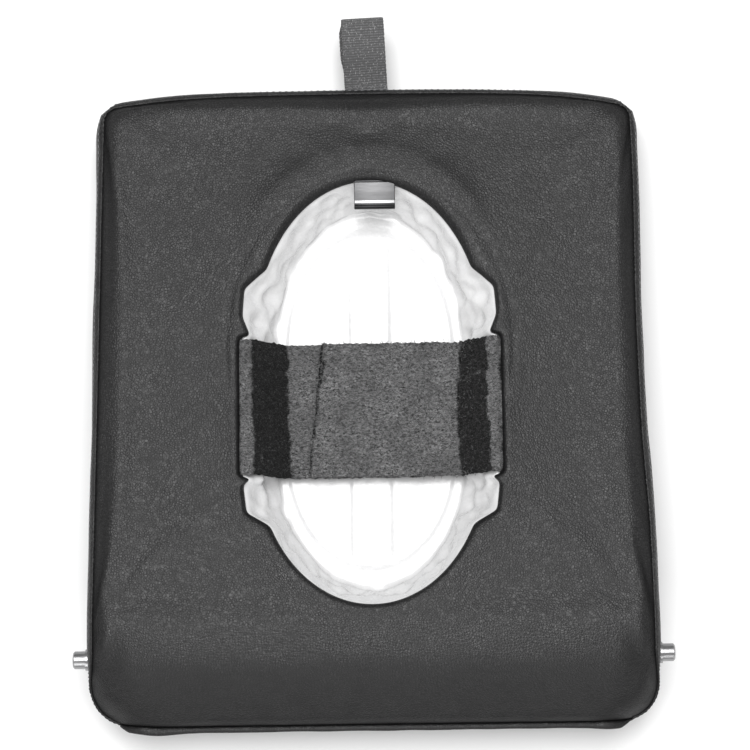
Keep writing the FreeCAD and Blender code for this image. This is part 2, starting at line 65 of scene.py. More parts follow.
# Form of the pad, as in the frame
SHAFT_LO, SHAFT_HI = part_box("shaft")
SHAFT_Y = (SHAFT_LO[1] + SHAFT_HI[1]) / 2
NOSE_R = (SHAFT_LO[2] + SHAFT_HI[2]) / 2
STRAP_AXIS = JOINTS["strap_open"]["axis"]
WEDGE = math.atan2(-STRAP_AXIS[2], STRAP_AXIS[1])
GRIP_Z0 = NOSE_R + (NOSE_R + SHAFT_Y * math.sin(WEDGE)) / math.cos(WEDGE)
TOP_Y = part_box("top_gusset")[1][1]
SEAM_HALF_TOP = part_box("grip_panel")[1][0] - 9.8 * MM
SEAM_HALF_BASE = SEAM_HALF_TOP + 5.6 * MM
STRIKE_HALF_TOP = SEAM_HALF_TOP + 2.2 * MM
STRIKE_HALF_BASE = SEAM_HALF_BASE + 3.2 * MM
WAIST_LEFT = 0.1 * MM
WAIST_RIGHT = 2.2 * MM
SEAM_DEG = 22.0
STRIKE_SEAM_DEG = 30.0
TANGENT_V = (SHAFT_Y + NOSE_R * math.sin(WEDGE)) / math.cos(WEDGE)

# Softness of the cover
CROWN = 4.0 * MM
GUSSET_GIVE = 0.25
PLATEAU = 4.2 * MM
TOP_SWELL = 4.2 * MM
RIM_DIP = -0.4 * MM
SEAM_DIP = -4.2 * MM
SEAM_ROLL = 15.0 * MM
SIDE_BULGE = 5.7 * MM
BASE_BULGE = 6.6 * MM
CORNER_REACH = 34.0 * MM
CORNER_OUT = 3.4 * MM
CORNER_DROP = 18.0 * MM
CORNER_NOTCH = 1.1 * MM
PEBBLES = 740.0
GRAIN_DEPTH = 0.4 * MM
NOSE_SLOPE = 0.27
BASE_SEAM_HALF = 143.0 * MM
SWELL_REACH = 38.0 * MM
CREST_RISE, CREST_AT, CREST_HALF = 0.9 * MM, 19.0 * MM, 5.0 * MM
CLOTH = {
    "quality": 5, "mass": 0.35, "tension_stiffness": 30, "compression_stiffness": 30, "shear_stiffness": 12,
    "bending_stiffness": 4, "use_pressure": True, "uniform_pressure_force": 4.0,
}

# Recess and tray
OVAL_HALF = 63.0 * MM
OVAL_TOP = 107.0 * MM
OVAL_TOP_CENTRE = 20.0 * MM
OVAL_BASE = -131.0 * MM
OVAL_BASE_CENTRE = -50.0 * MM
TRAY_DEPTH = 30.0 * MM
TRAY_DRAFT = 10.5 * MM
TRAY_RIM = -2.4 * MM
TRAY_WALL_ROWS = 22
TRAY_FLOOR_ROWS = 26

# Strap
STRAP_V = -20.8 * MM
STRAP_W = 76.0 * MM
STRAP_T = 2.4 * MM
STRAP_RIM_W = 0.2 * MM
STRAP_SLOT_U = 72.2 * MM
STRAP_TURN_U = 66.5 * MM
SLOPE_END_U = 47.0 * MM
LEFT_LEVEL = -20.5 * MM
RIGHT_LEVEL = -17.0 * MM
FREE_END_U = -31.0 * MM
FREE_END_SLANT = 8.0 * MM
FIBRES = 1100
FIBRE_FROM_ROW = 26
# Length of the painted shadow line along the right strap's free end
END_PAINTED_SHADOW = 1.6 * MM
STRAP_BEND = 2.6 * MM
STRAP_COLUMNS = 64
# Blur of the felt's painted light along the strap
PAINTED_LIGHT_BLUR = 12.0 * MM

# Pull loop and clip
WEB_T = 1.4 * MM
WEB_W = 24.6 * MM
LOOP_EXTRA = 4.6 * MM
LOOP_LAYER = 0.75 * MM
LOOP_SKEW = 1.5 * MM
LOOP_ROWS = (-5.2, -3.4, -1.6)
CLIP_TIP_V = 92.5 * MM
CLIP_RISE = 0.8 * MM
CLIP_T = 0.9 * MM
LIP_R = 2.3 * MM

# Camera and light
TARGET = Vector((2.7 * MM, -4.2 * MM, 70.0 * MM))
DISTANCE = 1.3
ELEVATION = math.radians(84.9)
ROLL = math.radians(0.78)
LENS = 112.5
WORLD = 0.42
OVERHEAD_W = 35.0
FRONT_W = 8.0

COLUMNS = 320
GRIP_ROWS = 50
GUSSET_ROWS = 16
STRIKE_ROWS = 14
PIPING_POINTS = 1100

rng = random.Random(SEED)


# ---- small tools ----

def grip_points(u, v, w):
    """Points of the grip frame in the row frame."""
    u, v, w = np.broadcast_arrays(np.asarray(u, float), np.asarray(v, float), np.asarray(w, float))
    y = v * math.cos(WEDGE) + w * math.sin(WEDGE)
    z = GRIP_Z0 - v * math.sin(WEDGE) + w * math.cos(WEDGE)
    return np.stack([u, y, z], -1)


def mesh_object(name, points, faces, soft=True):
    mesh = bpy.data.meshes.new(name)
    mesh.from_pydata([tuple(p) for p in np.asarray(points, float).reshape(-1, 3)], [], faces)
    mesh.validate()
    mesh.update()
    if soft:
        mesh.shade_smooth()
    obj = bpy.data.objects.new(name, mesh)
    bpy.context.collection.objects.link(obj)
    return obj


def grid_faces(rows, cols, wrap=False, start=0):
    faces = []
    last = cols if wrap else cols - 1
    for i in range(rows - 1):
        for j in range(last):
            k = (j + 1) % cols
            a = start + i * cols
            b = start + (i + 1) * cols
            faces.append((a + j, b + j, b + k, a + k))
    return faces


def end_faces(sections, sides):
    """The two end caps of a run of closed sections."""
    last = (sections - 1) * sides
    return [tuple(range(sides)), tuple(last + k for k in reversed(range(sides)))]


def dish(rows, centre):
    """Points and faces of closed rows that end in one point at the centre."""
    points = np.vstack([np.array(rows).reshape(-1, 3), [centre]])
    last = (len(rows) - 1) * COLUMNS
    faces = grid_faces(len(rows), COLUMNS, wrap=True)
    faces += [(last + j, len(points) - 1, last + (j + 1) % COLUMNS) for j in range(COLUMNS)]
    return points, faces


def set_painted_light(obj, values):
    """Painted light on the felt at each point, from 0 (painted shade) to 1 (lit)."""
    layer = obj.data.attributes.new("painted_light", "FLOAT", "POINT")
    layer.data.foreach_set("value", np.asarray(values, dtype=np.float32))


def set_uv(obj, coords):
    """Lengths along and across a strip, in metres, for its weave."""
    layer = obj.data.uv_layers.new(name="strip")
    indices = np.zeros(len(obj.data.loops), dtype=np.int32)
    obj.data.loops.foreach_get("vertex_index", indices)
    layer.data.foreach_set("uv", np.asarray(coords, dtype=np.float32)[indices].ravel())


def subdivide(obj, levels=1):
    modifier = obj.modifiers.new("smooth", "SUBSURF")
    modifier.levels = levels
    modifier.render_levels = levels


def finish_piece(obj, material, body=BODY, replaces=()):
    obj.data.materials.append(material)
    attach(obj, body)
    if replaces:
        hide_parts(*replaces)


def resample(points, count, closed=True):
    points = np.asarray(points, float)
    if closed:
        points = np.vstack([points, points[:1]])
    places = places_of(points)
    wanted = np.linspace(0.0, places[-1], count, endpoint=not closed)
    return np.stack([np.interp(wanted, places, points[:, i]) for i in range(points.shape[1])], 1)


def places_of(path):
    """Arc length of each point of a path from its first one."""
    return np.concatenate([[0.0], np.cumsum(np.linalg.norm(np.diff(path, axis=0), axis=1))])


def ring_tangents(ring):
    """Unit tangents of a closed ring of points."""
    tangent = np.roll(ring, -1, axis=0) - np.roll(ring, 1, axis=0)
    return tangent / np.linalg.norm(tangent, axis=1, keepdims=True)


def bell(reach, spread):
    """Gaussian weights that sum to 1; reach and spread are in samples."""
    weights = np.exp(-0.5 * (np.arange(-reach, reach + 1) / spread) ** 2)
    return weights / weights.sum()


def blur_ring(points, spread):
    """Gaussian smoothing along a closed ring of points; spread is in samples."""
    reach = int(math.ceil(3 * spread))
    weights = bell(reach, spread)
    return sum(w * np.roll(points, s, axis=0) for w, s in zip(weights, range(-reach, reach + 1)))


def rounded(corners, radii, steps=12):
    """Closed outline with an arc at each corner; a radius of 0 keeps the point."""
    corners = [np.array(c, float) for c in corners]
    outline = []
    for i, (corner, radius) in enumerate(zip(corners, radii)):
        if radius == 0:
            outline.append(corner)
            continue
        back = corners[i - 1] - corner
        ahead = corners[(i + 1) % len(corners)] - corner
        back /= np.linalg.norm(back)
        ahead /= np.linalg.norm(ahead)
        half = 0.5 * math.acos(float(back @ ahead))
        middle = (back + ahead) / np.linalg.norm(back + ahead)
        centre = corner + middle * radius / math.sin(half)
        start = corner + back * radius / math.tan(half) - centre
        stop = corner + ahead * radius / math.tan(half) - centre
        turn = math.pi - 2 * half
        for angle in (turn * k / steps for k in range(steps + 1)):
            spoke = math.sin(turn - angle) * start + math.sin(angle) * stop
            outline.append(centre + spoke / math.sin(turn))
    return np.array(outline)


def smooth(value, low, high):
    """Smooth step from 0 at low to 1 at high."""
    part = np.clip((np.asarray(value, float) - low) / (high - low), 0.0, 1.0)
    return part * part * (3 - 2 * part)


def fall(distance, radius):
    """Quarter-round drop: 1 at the edge, 0 from one radius away."""
    inside = np.clip(1.0 - np.asarray(distance) / radius, 0.0, 1.0)
    return 1.0 - np.sqrt(np.clip(1.0 - inside ** 2.1, 0.0, 1.0))


def grid_normals(grid):
    """Unit normals of a grid of points whose columns close on themselves."""
    along = np.gradient(grid, axis=0)
    across = np.roll(grid, -1, axis=1) - np.roll(grid, 1, axis=1)
    normal = np.cross(across, along)
    return normal / np.maximum(np.linalg.norm(normal, axis=-1, keepdims=True), 1e-12)


def noise_at(points, scale, offset=0.0):
    shift = Vector((offset, offset * 0.7, offset * 1.3))
    flat = np.asarray(points).reshape(-1, 3) * scale
    values = [noise.noise(Vector(p) + shift) for p in flat]
    return np.array(values).reshape(np.asarray(points).shape[:-1])


def tube(name, path, radius, sides=10, closed=False):
    """Tube along a path of points, with closed ends; the radius may vary from point to point."""
    path = np.asarray(path, float)
    count = len(path)
    if closed:
        tangent = np.roll(path, -1, axis=0) - np.roll(path, 1, axis=0)
    else:
        tangent = np.gradient(path, axis=0)
    tangent /= np.linalg.norm(tangent, axis=1, keepdims=True)
    side = np.cross(tangent, np.array([0.0, 0.0, 1.0]))
    side /= np.maximum(np.linalg.norm(side, axis=1, keepdims=True), 1e-6)
    lift = np.cross(side, tangent)
    angles = np.arange(sides) / sides * 2 * math.pi
    radii = np.broadcast_to(np.asarray(radius, float), (count,))[:, None, None]
    rings = (path[:, None] + radii * (np.cos(angles)[None, :, None] * side[:, None]
                                      + np.sin(angles)[None, :, None] * lift[:, None]))
    faces = grid_faces(count, sides, wrap=True)
    if closed:
        last = (count - 1) * sides
        faces += [(last + j, j, (j + 1) % sides, last + (j + 1) % sides) for j in range(sides)]
    else:
        faces += end_faces(count, sides)
    return mesh_object(name, rings, faces)


# ---- outlines of the pad ----

def bend_grip(x, t):
    """Grip panel laid flat (x, t) onto the wedge and round the base; t is 0 where the roll begins."""
    x, t = np.broadcast_arrays(np.asarray(x, float), np.asarray(t, float))
    turn = np.clip(-t, 0.0, None) / NOSE_R
    ahead = np.clip(t, 0.0, None)
    y = SHAFT_Y + NOSE_R * np.sin(WEDGE - turn) + ahead * math.cos(WEDGE)
    z = NOSE_R + NOSE_R * np.cos(WEDGE - turn) - ahead * math.sin(WEDGE)
    return np.stack([x, y, z], -1)


def grip_out(t):
    """Outward direction of the grip panel at flat length t."""
    turn = np.clip(-np.asarray(t, float), 0.0, None) / NOSE_R
    return np.stack([np.zeros_like(turn), np.sin(WEDGE - turn), np.cos(WEDGE - turn)], -1)


def bend_strike(x, t):
    """Strike panel laid flat (x, t), turned up round the base where t is below 0."""
    x, t = np.broadcast_arrays(np.asarray(x, float), np.asarray(t, float))
    turn = np.clip(-t, 0.0, None) / NOSE_R
    y = SHAFT_Y - NOSE_R * np.sin(turn) + np.clip(t, 0.0, None)
    z = NOSE_R - NOSE_R * np.cos(turn)
    return np.stack([x, y, z], -1)


def pad_ring(base, top, halves, radii, bow):
    """Closed ring from the top centre round by the right: bowed top edge, slightly waisted sides."""
    half_base, half_top = halves
    right_r, left_r, top_r = radii
    corners = [(0.0, top), (half_top, top), (half_base, base),
               (0.0, base), (-half_base, base), (-half_top, top)]
    ring = resample(rounded(corners, [0, top_r, right_r, 0, left_r, top_r]), COLUMNS)
    span = (ring[:, 1] - base) / (top - base)
    near_top = smooth(span, 0.8, 1.0)
    bow = np.where(ring[:, 0] > 0, bow, 0.82 * bow)
    ring[:, 1] -= bow * near_top * np.abs(ring[:, 0] / half_top) ** 4
    in_middle = smooth(span, 0.3, 0.5) * smooth(-span, -0.9, -0.62)
    waist = np.where(ring[:, 0] > 0, WAIST_RIGHT, WAIST_LEFT) * in_middle
    ring[:, 0] *= 1 - waist / half_base
    return ring


def grip_seam_ring():
    base = -NOSE_R * (math.pi / 2 - math.radians(SEAM_DEG) + WEDGE)
    top = (TOP_Y - 3.0 * MM) / math.cos(WEDGE) - TANGENT_V
    return pad_ring(base, top, (SEAM_HALF_BASE, SEAM_HALF_TOP), (32 * MM, 36 * MM, 6 * MM), 9.2 * MM)


def strike_seam_ring():
    base = -NOSE_R * math.radians(STRIKE_SEAM_DEG)
    top = TOP_Y - 2.4 * MM - SHAFT_Y
    return pad_ring(base, top, (STRIKE_HALF_BASE, STRIKE_HALF_TOP), (32 * MM, 36 * MM, 11 * MM), 7.8 * MM)


def hole_ring(slot_half=72.4 * MM):
    """Edge of the hole in the grip panel: an oval, pockets beside it and the strap slots (u, v)."""
    strap_top = STRAP_V + STRAP_W / 2 + 0.6 * MM
    strap_base = STRAP_V - STRAP_W / 2 - 0.6 * MM
    top_arc = [(OVAL_HALF * math.sin(a), OVAL_TOP_CENTRE + (OVAL_TOP - OVAL_TOP_CENTRE) * math.cos(a))
               for a in np.radians(np.linspace(0, 65, 24))]
    base_arc = [(OVAL_HALF * math.sin(a), OVAL_BASE_CENTRE - (OVAL_BASE_CENTRE - OVAL_BASE) * math.cos(a))
                for a in np.radians(np.linspace(62, 0, 24))]
    pocket = [(61.8, 53.0), (69.6, 46.0), (70.8, 30.0), (66.5, 19.5)]
    low_pocket = [(66.5, -61.4), (70.6, -64.5), (68.8, -80.0), (57.0, -86.8)]
    right = (top_arc + [(u * MM, v * MM) for u, v in pocket]
             + [(slot_half, strap_top), (slot_half, strap_base)]
             + [(u * MM, v * MM) for u, v in low_pocket] + base_arc)
    ring = np.array(right + [(-u, v) for u, v in right[-2:0:-1]])
    fine = resample(ring, COLUMNS * 4)
    fine = blur_ring(fine, 2.2)
    return fine[::4]


# ---- leather cover ----

def spread(rows, ends=0.55):
    """Fractions from 0 to 1 that are closer together near both ends."""
    even = np.linspace(0.0, 1.0, rows)
    return ends * (0.5 - 0.5 * np.cos(math.pi * even)) + (1 - ends) * even


def leather_height(hole, along, near_rim, near_seam):
    """Height of the leather over the grip plane, from its place along the pad and how near its edges are."""
    top = smooth(hole[:, 1], 50 * MM, 98 * MM)
    base = smooth(-hole[:, 1], 85 * MM, 125 * MM)
    swell = PLATEAU + TOP_SWELL * top * np.exp(-(near_rim / SWELL_REACH) ** 2)
    swell = swell + CREST_RISE * top * np.exp(-((near_rim - CREST_AT) / CREST_HALF) ** 2)
    roll = (9 + 9 * top - 2 * base - 4 * smooth(np.abs(hole[:, 0]), 64 * MM, 71 * MM)) * MM
    nose = smooth(-along, 150 * MM, 195 * MM)
    swell = swell - (PLATEAU - 0.6 * MM) * nose
    seam_drop = (PLATEAU - SEAM_DIP) * (1 - nose) + 2.4 * MM * nose
    at_seam = np.clip(1 - near_seam / SEAM_ROLL, 0, 1) ** 2
    return swell - (swell - RIM_DIP) * fall(near_rim, roll) - seam_drop * at_seam


def nose_profile():
    """How far the worn padding of the thick end sinks, at lengths along the pad towards the base."""
    places = np.linspace(100 * MM, 220 * MM, 121)
    slope = NOSE_SLOPE * smooth(places, 130 * MM, 154 * MM) * (1 - smooth(places, 165 * MM, 205 * MM))
    return places, np.cumsum(slope) * (places[1] - places[0])


def cover_grid():
    """Grip panel and gussets as one grid of rows (rim to strike seam) by columns, before inflation."""
    seam = grip_seam_ring()
    strike = strike_seam_ring()
    hole = hole_ring()
    hole_flat = np.stack([hole[:, 0], hole[:, 1] - TANGENT_V], 1)
    length = np.linalg.norm(seam - hole_flat, axis=1)
    tangent = ring_tangents(seam)
    outward = np.stack([-tangent[:, 1], tangent[:, 0], tangent[:, 0] * 0], 1)
    corner = smooth(-seam[:, 1], -2 * MM, 26 * MM) * smooth(np.abs(seam[:, 0]), 127 * MM, 150 * MM)
    places, drops = nose_profile()
    rows = []
    for f in spread(GRIP_ROWS):
        flat = hole_flat * (1 - f) + seam * f
        near_seam = (1 - f) * length
        lift = leather_height(hole, flat[:, 1] + TANGENT_V, f * length, near_seam)
        turn = np.clip(1 - near_seam / CORNER_REACH, 0, 1) * math.pi / 2
        out = CORNER_OUT * corner * np.sin(turn)
        down = CORNER_DROP * corner * (1 - np.cos(turn))
        point = bend_grip(flat[:, 0], flat[:, 1]) + lift[:, None] * grip_out(flat[:, 1])
        along = flat[:, 1] + TANGENT_V
        down += np.interp(-along, places, drops)
        rows.append(point + out[:, None] * outward - down[:, None] * np.array([0.0, 0.0, 1.0]))
    top = rows[-1]
    base = bend_strike(strike[:, 0], strike[:, 1]) + np.array([0.0, 0.0, 1.6 * MM])
    tangent = np.roll(top + base, -1, axis=0) - np.roll(top + base, 1, axis=0)
    out = np.cross(base - top, tangent)
    out /= np.linalg.norm(out, axis=1, keepdims=True)
    if float(out[COLUMNS // 4, 0]) < 0:
        out = -out
    at_base = np.clip((SHAFT_Y - 8 * MM - top[:, 1]) / (25 * MM), 0.0, 1.0)
    bulge = (SIDE_BULGE + (BASE_BULGE - SIDE_BULGE) * at_base ** 1.5) * (1 - 0.55 * corner)
    for s in spread(GUSSET_ROWS)[1:]:
        shape = (1 - abs(2 * s - 1) ** 2.3) ** 0.62
        rows.append(top * (1 - s) + base * s + out * (bulge * shape)[:, None])
    return np.array(rows), length


def inflate(obj, pinned, frames=20):
    """Cloth under a little pressure, held along the seams; returns the points after it."""
    group = obj.vertex_groups.new(name="held")
    group.add([int(i) for i in pinned], 1.0, "REPLACE")
    cloth = obj.modifiers.new("cloth", "CLOTH")
    settings = cloth.settings
    for name, value in CLOTH.items():
        setattr(settings, name, value)
    settings.vertex_group_mass = "held"
    settings.effector_weights.gravity = 0.0
    cloth.point_cache.frame_start = 1
    cloth.point_cache.frame_end = frames
    scene = bpy.context.scene
    for number in range(1, frames + 1):
        scene.frame_set(number)
    evaluated = obj.evaluated_get(bpy.context.evaluated_depsgraph_get())
    moved = np.zeros(len(evaluated.data.vertices) * 3)
    evaluated.data.vertices.foreach_get("co", moved)
    obj.modifiers.remove(cloth)
    scene.frame_set(1)
    return moved.reshape(-1, 3)


def inflated_cover():
    grid, length = cover_grid()
    rows = len(grid)
    sheet = mesh_object("cover_sim", grid, grid_faces(rows, COLUMNS, wrap=True))
    seam_row = GRIP_ROWS - 1
    pinned = [r * COLUMNS + c for r in (0, 1, seam_row, rows - 1) for c in range(COLUMNS)]
    moved = inflate(sheet, pinned).reshape(grid.shape)
    bpy.data.objects.remove(sheet, do_unlink=True)
    give = moved - grid
    size = np.linalg.norm(give, axis=-1)
    typical = np.percentile(size[2:seam_row - 1], 97)
    give *= CROWN / max(typical, 1e-9)
    size = np.linalg.norm(give, axis=-1, keepdims=True)
    give *= np.minimum(1.0, 1.3 * CROWN / np.maximum(size, 1e-9))
    give[seam_row:] *= GUSSET_GIVE
    give[:seam_row] *= 1 - 0.9 * smooth(-grid[:seam_row, :, 1:2], 122 * MM, 158 * MM)
    grid = grid + give
    return ruffle(grid, length)


def ruffle(grid, length):
    """Unevenness of the padding, and puckers that run into the seams."""
    normal = grid_normals(grid)
    rows = len(grid)
    from_seam = np.zeros((rows, COLUMNS))
    from_rim = np.full((rows, COLUMNS), 1.0)
    fractions = spread(GRIP_ROWS)
    for r in range(GRIP_ROWS):
        from_seam[r] = (1 - fractions[r]) * length
        from_rim[r] = fractions[r] * length
    seam = grid[GRIP_ROWS - 1]
    for r in range(GRIP_ROWS, rows):
        from_seam[r] = np.linalg.norm(grid[r] - seam, axis=-1)
    places = places_of(seam)
    pucker = noise_at(np.stack([places, places * 0, places * 0], 1), 95.0, 3.1)
    near_corner = np.clip((np.abs(seam[:, 0]) - 110 * MM) / (40 * MM), 0, 1)
    near_corner = near_corner * np.clip((SHAFT_Y + 5 * MM - seam[:, 1]) / (15 * MM), 0.25, 1)
    depth = (0.25 + 1.0 * near_corner) * MM
    edge = np.clip(from_seam / (3 * MM), 0, 1) * np.exp(-from_seam / (8 * MM))
    broad = noise_at(grid, 17.0) * 0.9 * MM + noise_at(grid, 42.0, 5.0) * 0.35 * MM
    calm = np.clip(from_seam / (20 * MM), 0, 1) * np.clip(from_rim / (12 * MM), 0, 1)
    shift = pucker[None] * depth[None] * edge + broad * calm
    shift[:GRIP_ROWS] += panel_creases(grid[:GRIP_ROWS], from_seam[:GRIP_ROWS])
    for side in (-1, 1):
        corner = column_of(seam, side * (SEAM_HALF_TOP - 1 * MM), 1)
        away = np.minimum(np.abs(places_of(seam) - places_of(seam)[corner]), 1.0)
        shift[GRIP_ROWS:] -= CORNER_NOTCH * np.exp(-(away / (2.6 * MM)) ** 2)[None]
    shift[0] = 0
    shift[rows - 1] = 0
    return grid + normal * shift[..., None]


def panel_creases(panel, from_seam):
    """Fold along the top seam, and the shallow ring that the foam's cut-out leaves round the recess."""
    at_top = smooth(panel[-1, :, 1], TOP_Y - 16 * MM, TOP_Y - 9 * MM)
    fold = 0.55 * MM * np.exp(-((from_seam - 4.2 * MM) / (1.1 * MM)) ** 2) * at_top[None]
    reach = np.hypot(panel[..., 0] / (80 * MM), (panel[..., 1] - 14 * MM) / (97 * MM))
    groove = np.exp(-((reach - 1.0) / 0.02) ** 2) * smooth(panel[..., 1], -45 * MM, 10 * MM)
    return fold - 0.5 * MM * groove


def column_of(ring, x, y_sign):
    """Column whose point lies nearest the given x on the top (y_sign 1) or base (-1) side."""
    side = [c for c in range(COLUMNS) if ring[c, 1] * y_sign > 0]
    return min(side, key=lambda c: abs(ring[c, 0] - x) - 0.2 * ring[c, 1] * y_sign)


def slice_columns(grid, start, stop):
    count = (stop - start) % COLUMNS + 1
    return grid[:, [(start + k) % COLUMNS for k in range(count)]]


def make_cover(leather):
    grid = inflated_cover()
    seam = grid[GRIP_ROWS - 1]

    rim = grid[0]
    inner = rim + (grid[1] - rim) * 0.4 - 2.2 * MM * grip_out(np.zeros(COLUMNS))
    lip = rim - 1.0 * MM * grip_out(np.zeros(COLUMNS))
    panel = np.concatenate([inner[None], lip[None], grid[:GRIP_ROWS]])
    grip = mesh_object("cover_grip_panel", panel, grid_faces(len(panel), COLUMNS, wrap=True))
    subdivide(grip)
    finish_piece(grip, leather, replaces=("grip_panel", "grip_foam"))

    walls = grid[GRIP_ROWS - 1:]
    right_top = column_of(seam, SEAM_HALF_TOP, 1)
    left_top = column_of(seam, -SEAM_HALF_TOP, 1)
    right_base = column_of(seam, BASE_SEAM_HALF, -1)
    left_base = column_of(seam, -BASE_SEAM_HALF, -1)
    spans = {
        "cover_top_gusset": (left_top, right_top, ("top_gusset",)),
        "cover_right_gusset": (right_top, right_base, ("right_gusset",)),
        "cover_base_gusset": (right_base, left_base, ("bottom_gusset", "base_roll")),
        "cover_left_gusset": (left_base, left_top, ("left_gusset",)),
    }
    for name, (start, stop, nodes) in spans.items():
        part = slice_columns(walls, start, stop)
        wall = mesh_object(name, part, grid_faces(part.shape[0], part.shape[1]))
        subdivide(wall)
        finish_piece(wall, leather, replaces=nodes)

    make_strike(leather, grid[-1])
    return grid


def make_strike(leather, edge):
    """Strike panel: flat where it rests on the floor, rolled up to its seam."""
    ring = strike_seam_ring()
    centre = np.array([0.0, -SHAFT_Y])
    rows = [edge]
    for f in spread(STRIKE_ROWS)[1:-1]:
        flat = ring * (1 - f) + centre * f
        away = f * np.linalg.norm(ring - centre, axis=1)
        lift = 1.6 * MM * fall(away, 9 * MM)
        point = bend_strike(flat[:, 0], flat[:, 1])
        point[:, 2] += lift
        rows.append(point)
    strike = mesh_object("cover_strike_panel", *dish(rows, [0.0, 0.0, 0.0]))
    subdivide(strike)
    finish_piece(strike, leather, replaces=("strike_panel", "strike_foam"))


def seam_path(grid, start, stop, lift=0.0):
    """Stretch of the grip seam, raised along the mean normal there."""
    seam_row = GRIP_ROWS - 1
    line = grid[seam_row] + lift * grid_normals(grid)[seam_row]
    return slice_columns(line[None], start, stop)[0]


def make_trim(grid, leather, thread):
    seam = grid[GRIP_ROWS - 1]
    left_base = column_of(seam, -BASE_SEAM_HALF, -1)
    right_base = column_of(seam, BASE_SEAM_HALF, -1)
    path = resample(seam_path(grid, left_base, right_base, 0.35 * MM), PIPING_POINTS, closed=False)
    beads = 1 + 0.22 * np.sin(np.arange(PIPING_POINTS) * 2.1) + 0.25 * noise_at(path, 260.0, 6.0)
    piping = tube("cover_piping", path, 0.8 * MM * beads)
    finish_piece(piping, leather, replaces=("edge_piping",))
    low = resample(grid[-1] + grid_normals(grid)[-2] * 0.3 * MM, 900)
    strike_piping = tube("strike_piping", low, 1.1 * MM, closed=True)
    finish_piece(strike_piping, leather)
    closure = resample(seam_path(grid, right_base, left_base), 240, closed=False)
    x = closure[:, 0]
    radius = (2.0 + 0.8 * np.exp(-((x + 122 * MM) / (17 * MM)) ** 2)
              + 0.5 * np.exp(-((x - 132 * MM) / (9 * MM)) ** 2) + 0.25 * noise_at(closure, 60.0)) * MM
    radius *= np.clip((BASE_SEAM_HALF + 1 * MM - np.abs(x)) / (7 * MM), 0.15, 1.0) ** 0.6
    closure[:, 1] -= 0.5 * MM + radius * 0.75
    closure[:, 2] -= 1.6 * MM
    roll = tube("closure_roll", closure, radius, sides=16)
    finish_piece(roll, leather, replaces=("closure_strip",))
    normals = grid_normals(grid)
    stitch_line("side_stitches", grid, normals, GRIP_ROWS + 1, left_base, right_base, thread)
    stitch_line("strike_stitches", grid, normals, len(grid) - 3, 0, COLUMNS - 1, thread)


def stitch_line(name, grid, normals, row, start, stop, thread):
    """Row of short thread stitches lying on the leather."""
    line = slice_columns(grid[row][None], start, stop)[0]
    normal = slice_columns(normals[row][None], start, stop)[0]
    length = np.linalg.norm(np.diff(line, axis=0), axis=1).sum()
    count = int(length / (3.6 * MM))
    places = resample(line, count * 2, closed=False)
    outs = resample(normal, count * 2, closed=False)
    points = []
    faces = []
    for k in range(0, len(places) - 1, 2):
        add_stitch(points, faces, places[k], places[k + 1], outs[k], 0.28 * MM)
    obj = mesh_object(name, points, faces)
    finish_piece(obj, thread)


def add_stitch(points, faces, start, stop, out, radius):
    """One stitch: a short thread that rises from the cloth and goes back into it."""
    sides = 6
    along = stop - start
    size = np.linalg.norm(along)
    if size < 1e-9:
        return
    along = along / size
    out = out / max(np.linalg.norm(out), 1e-9)
    side = np.cross(along, out)
    first = len(points)
    profile = [(0.0, -0.6, 0.5), (0.12, 0.2, 0.9), (0.5, 0.55, 1.0), (0.88, 0.2, 0.9), (1.0, -0.6, 0.5)]
    for place, rise, swell in profile:
        centre = start + along * size * place + out * radius * rise
        for k in range(sides):
            angle = 2 * math.pi * k / sides
            points.append(centre + radius * swell * (math.cos(angle) * side + math.sin(angle) * out))
    faces += grid_faces(len(profile), sides, wrap=True, start=first)


# ---- tray ----

def floor_ring():
    """Edge of the tray's floor: the oval drawn in by the draft of the walls."""
    half = OVAL_HALF - TRAY_DRAFT
    top_rise = OVAL_TOP - OVAL_TOP_CENTRE - TRAY_DRAFT
    base_rise = OVAL_BASE_CENTRE - OVAL_BASE - TRAY_DRAFT
    arc = np.radians(np.linspace(0, 90, 40))
    right = [(half * math.sin(a), OVAL_TOP_CENTRE + top_rise * math.cos(a)) for a in arc]
    right += [(half * math.sin(a), OVAL_BASE_CENTRE - base_rise * math.cos(a)) for a in arc[::-1]]
    return resample(np.array(right + [(-u, v) for u, v in right[-2:0:-1]]), COLUMNS)


def crumple(points):
    """Inward dents of film that wrinkled as it was drawn: flat facets between sharp folds."""
    dents = []
    for point in points.reshape(-1, 3):
        near = noise.voronoi(Vector(point) * 84.0)[0]
        fine = noise.voronoi(Vector(point) * 170.0 + Vector((3.0, 1.0, 2.0)))[0]
        dents.append(2.4 * near[0] + 0.5 * fine[0] - 1.1)
    return np.array(dents).reshape(points.shape[:-1])


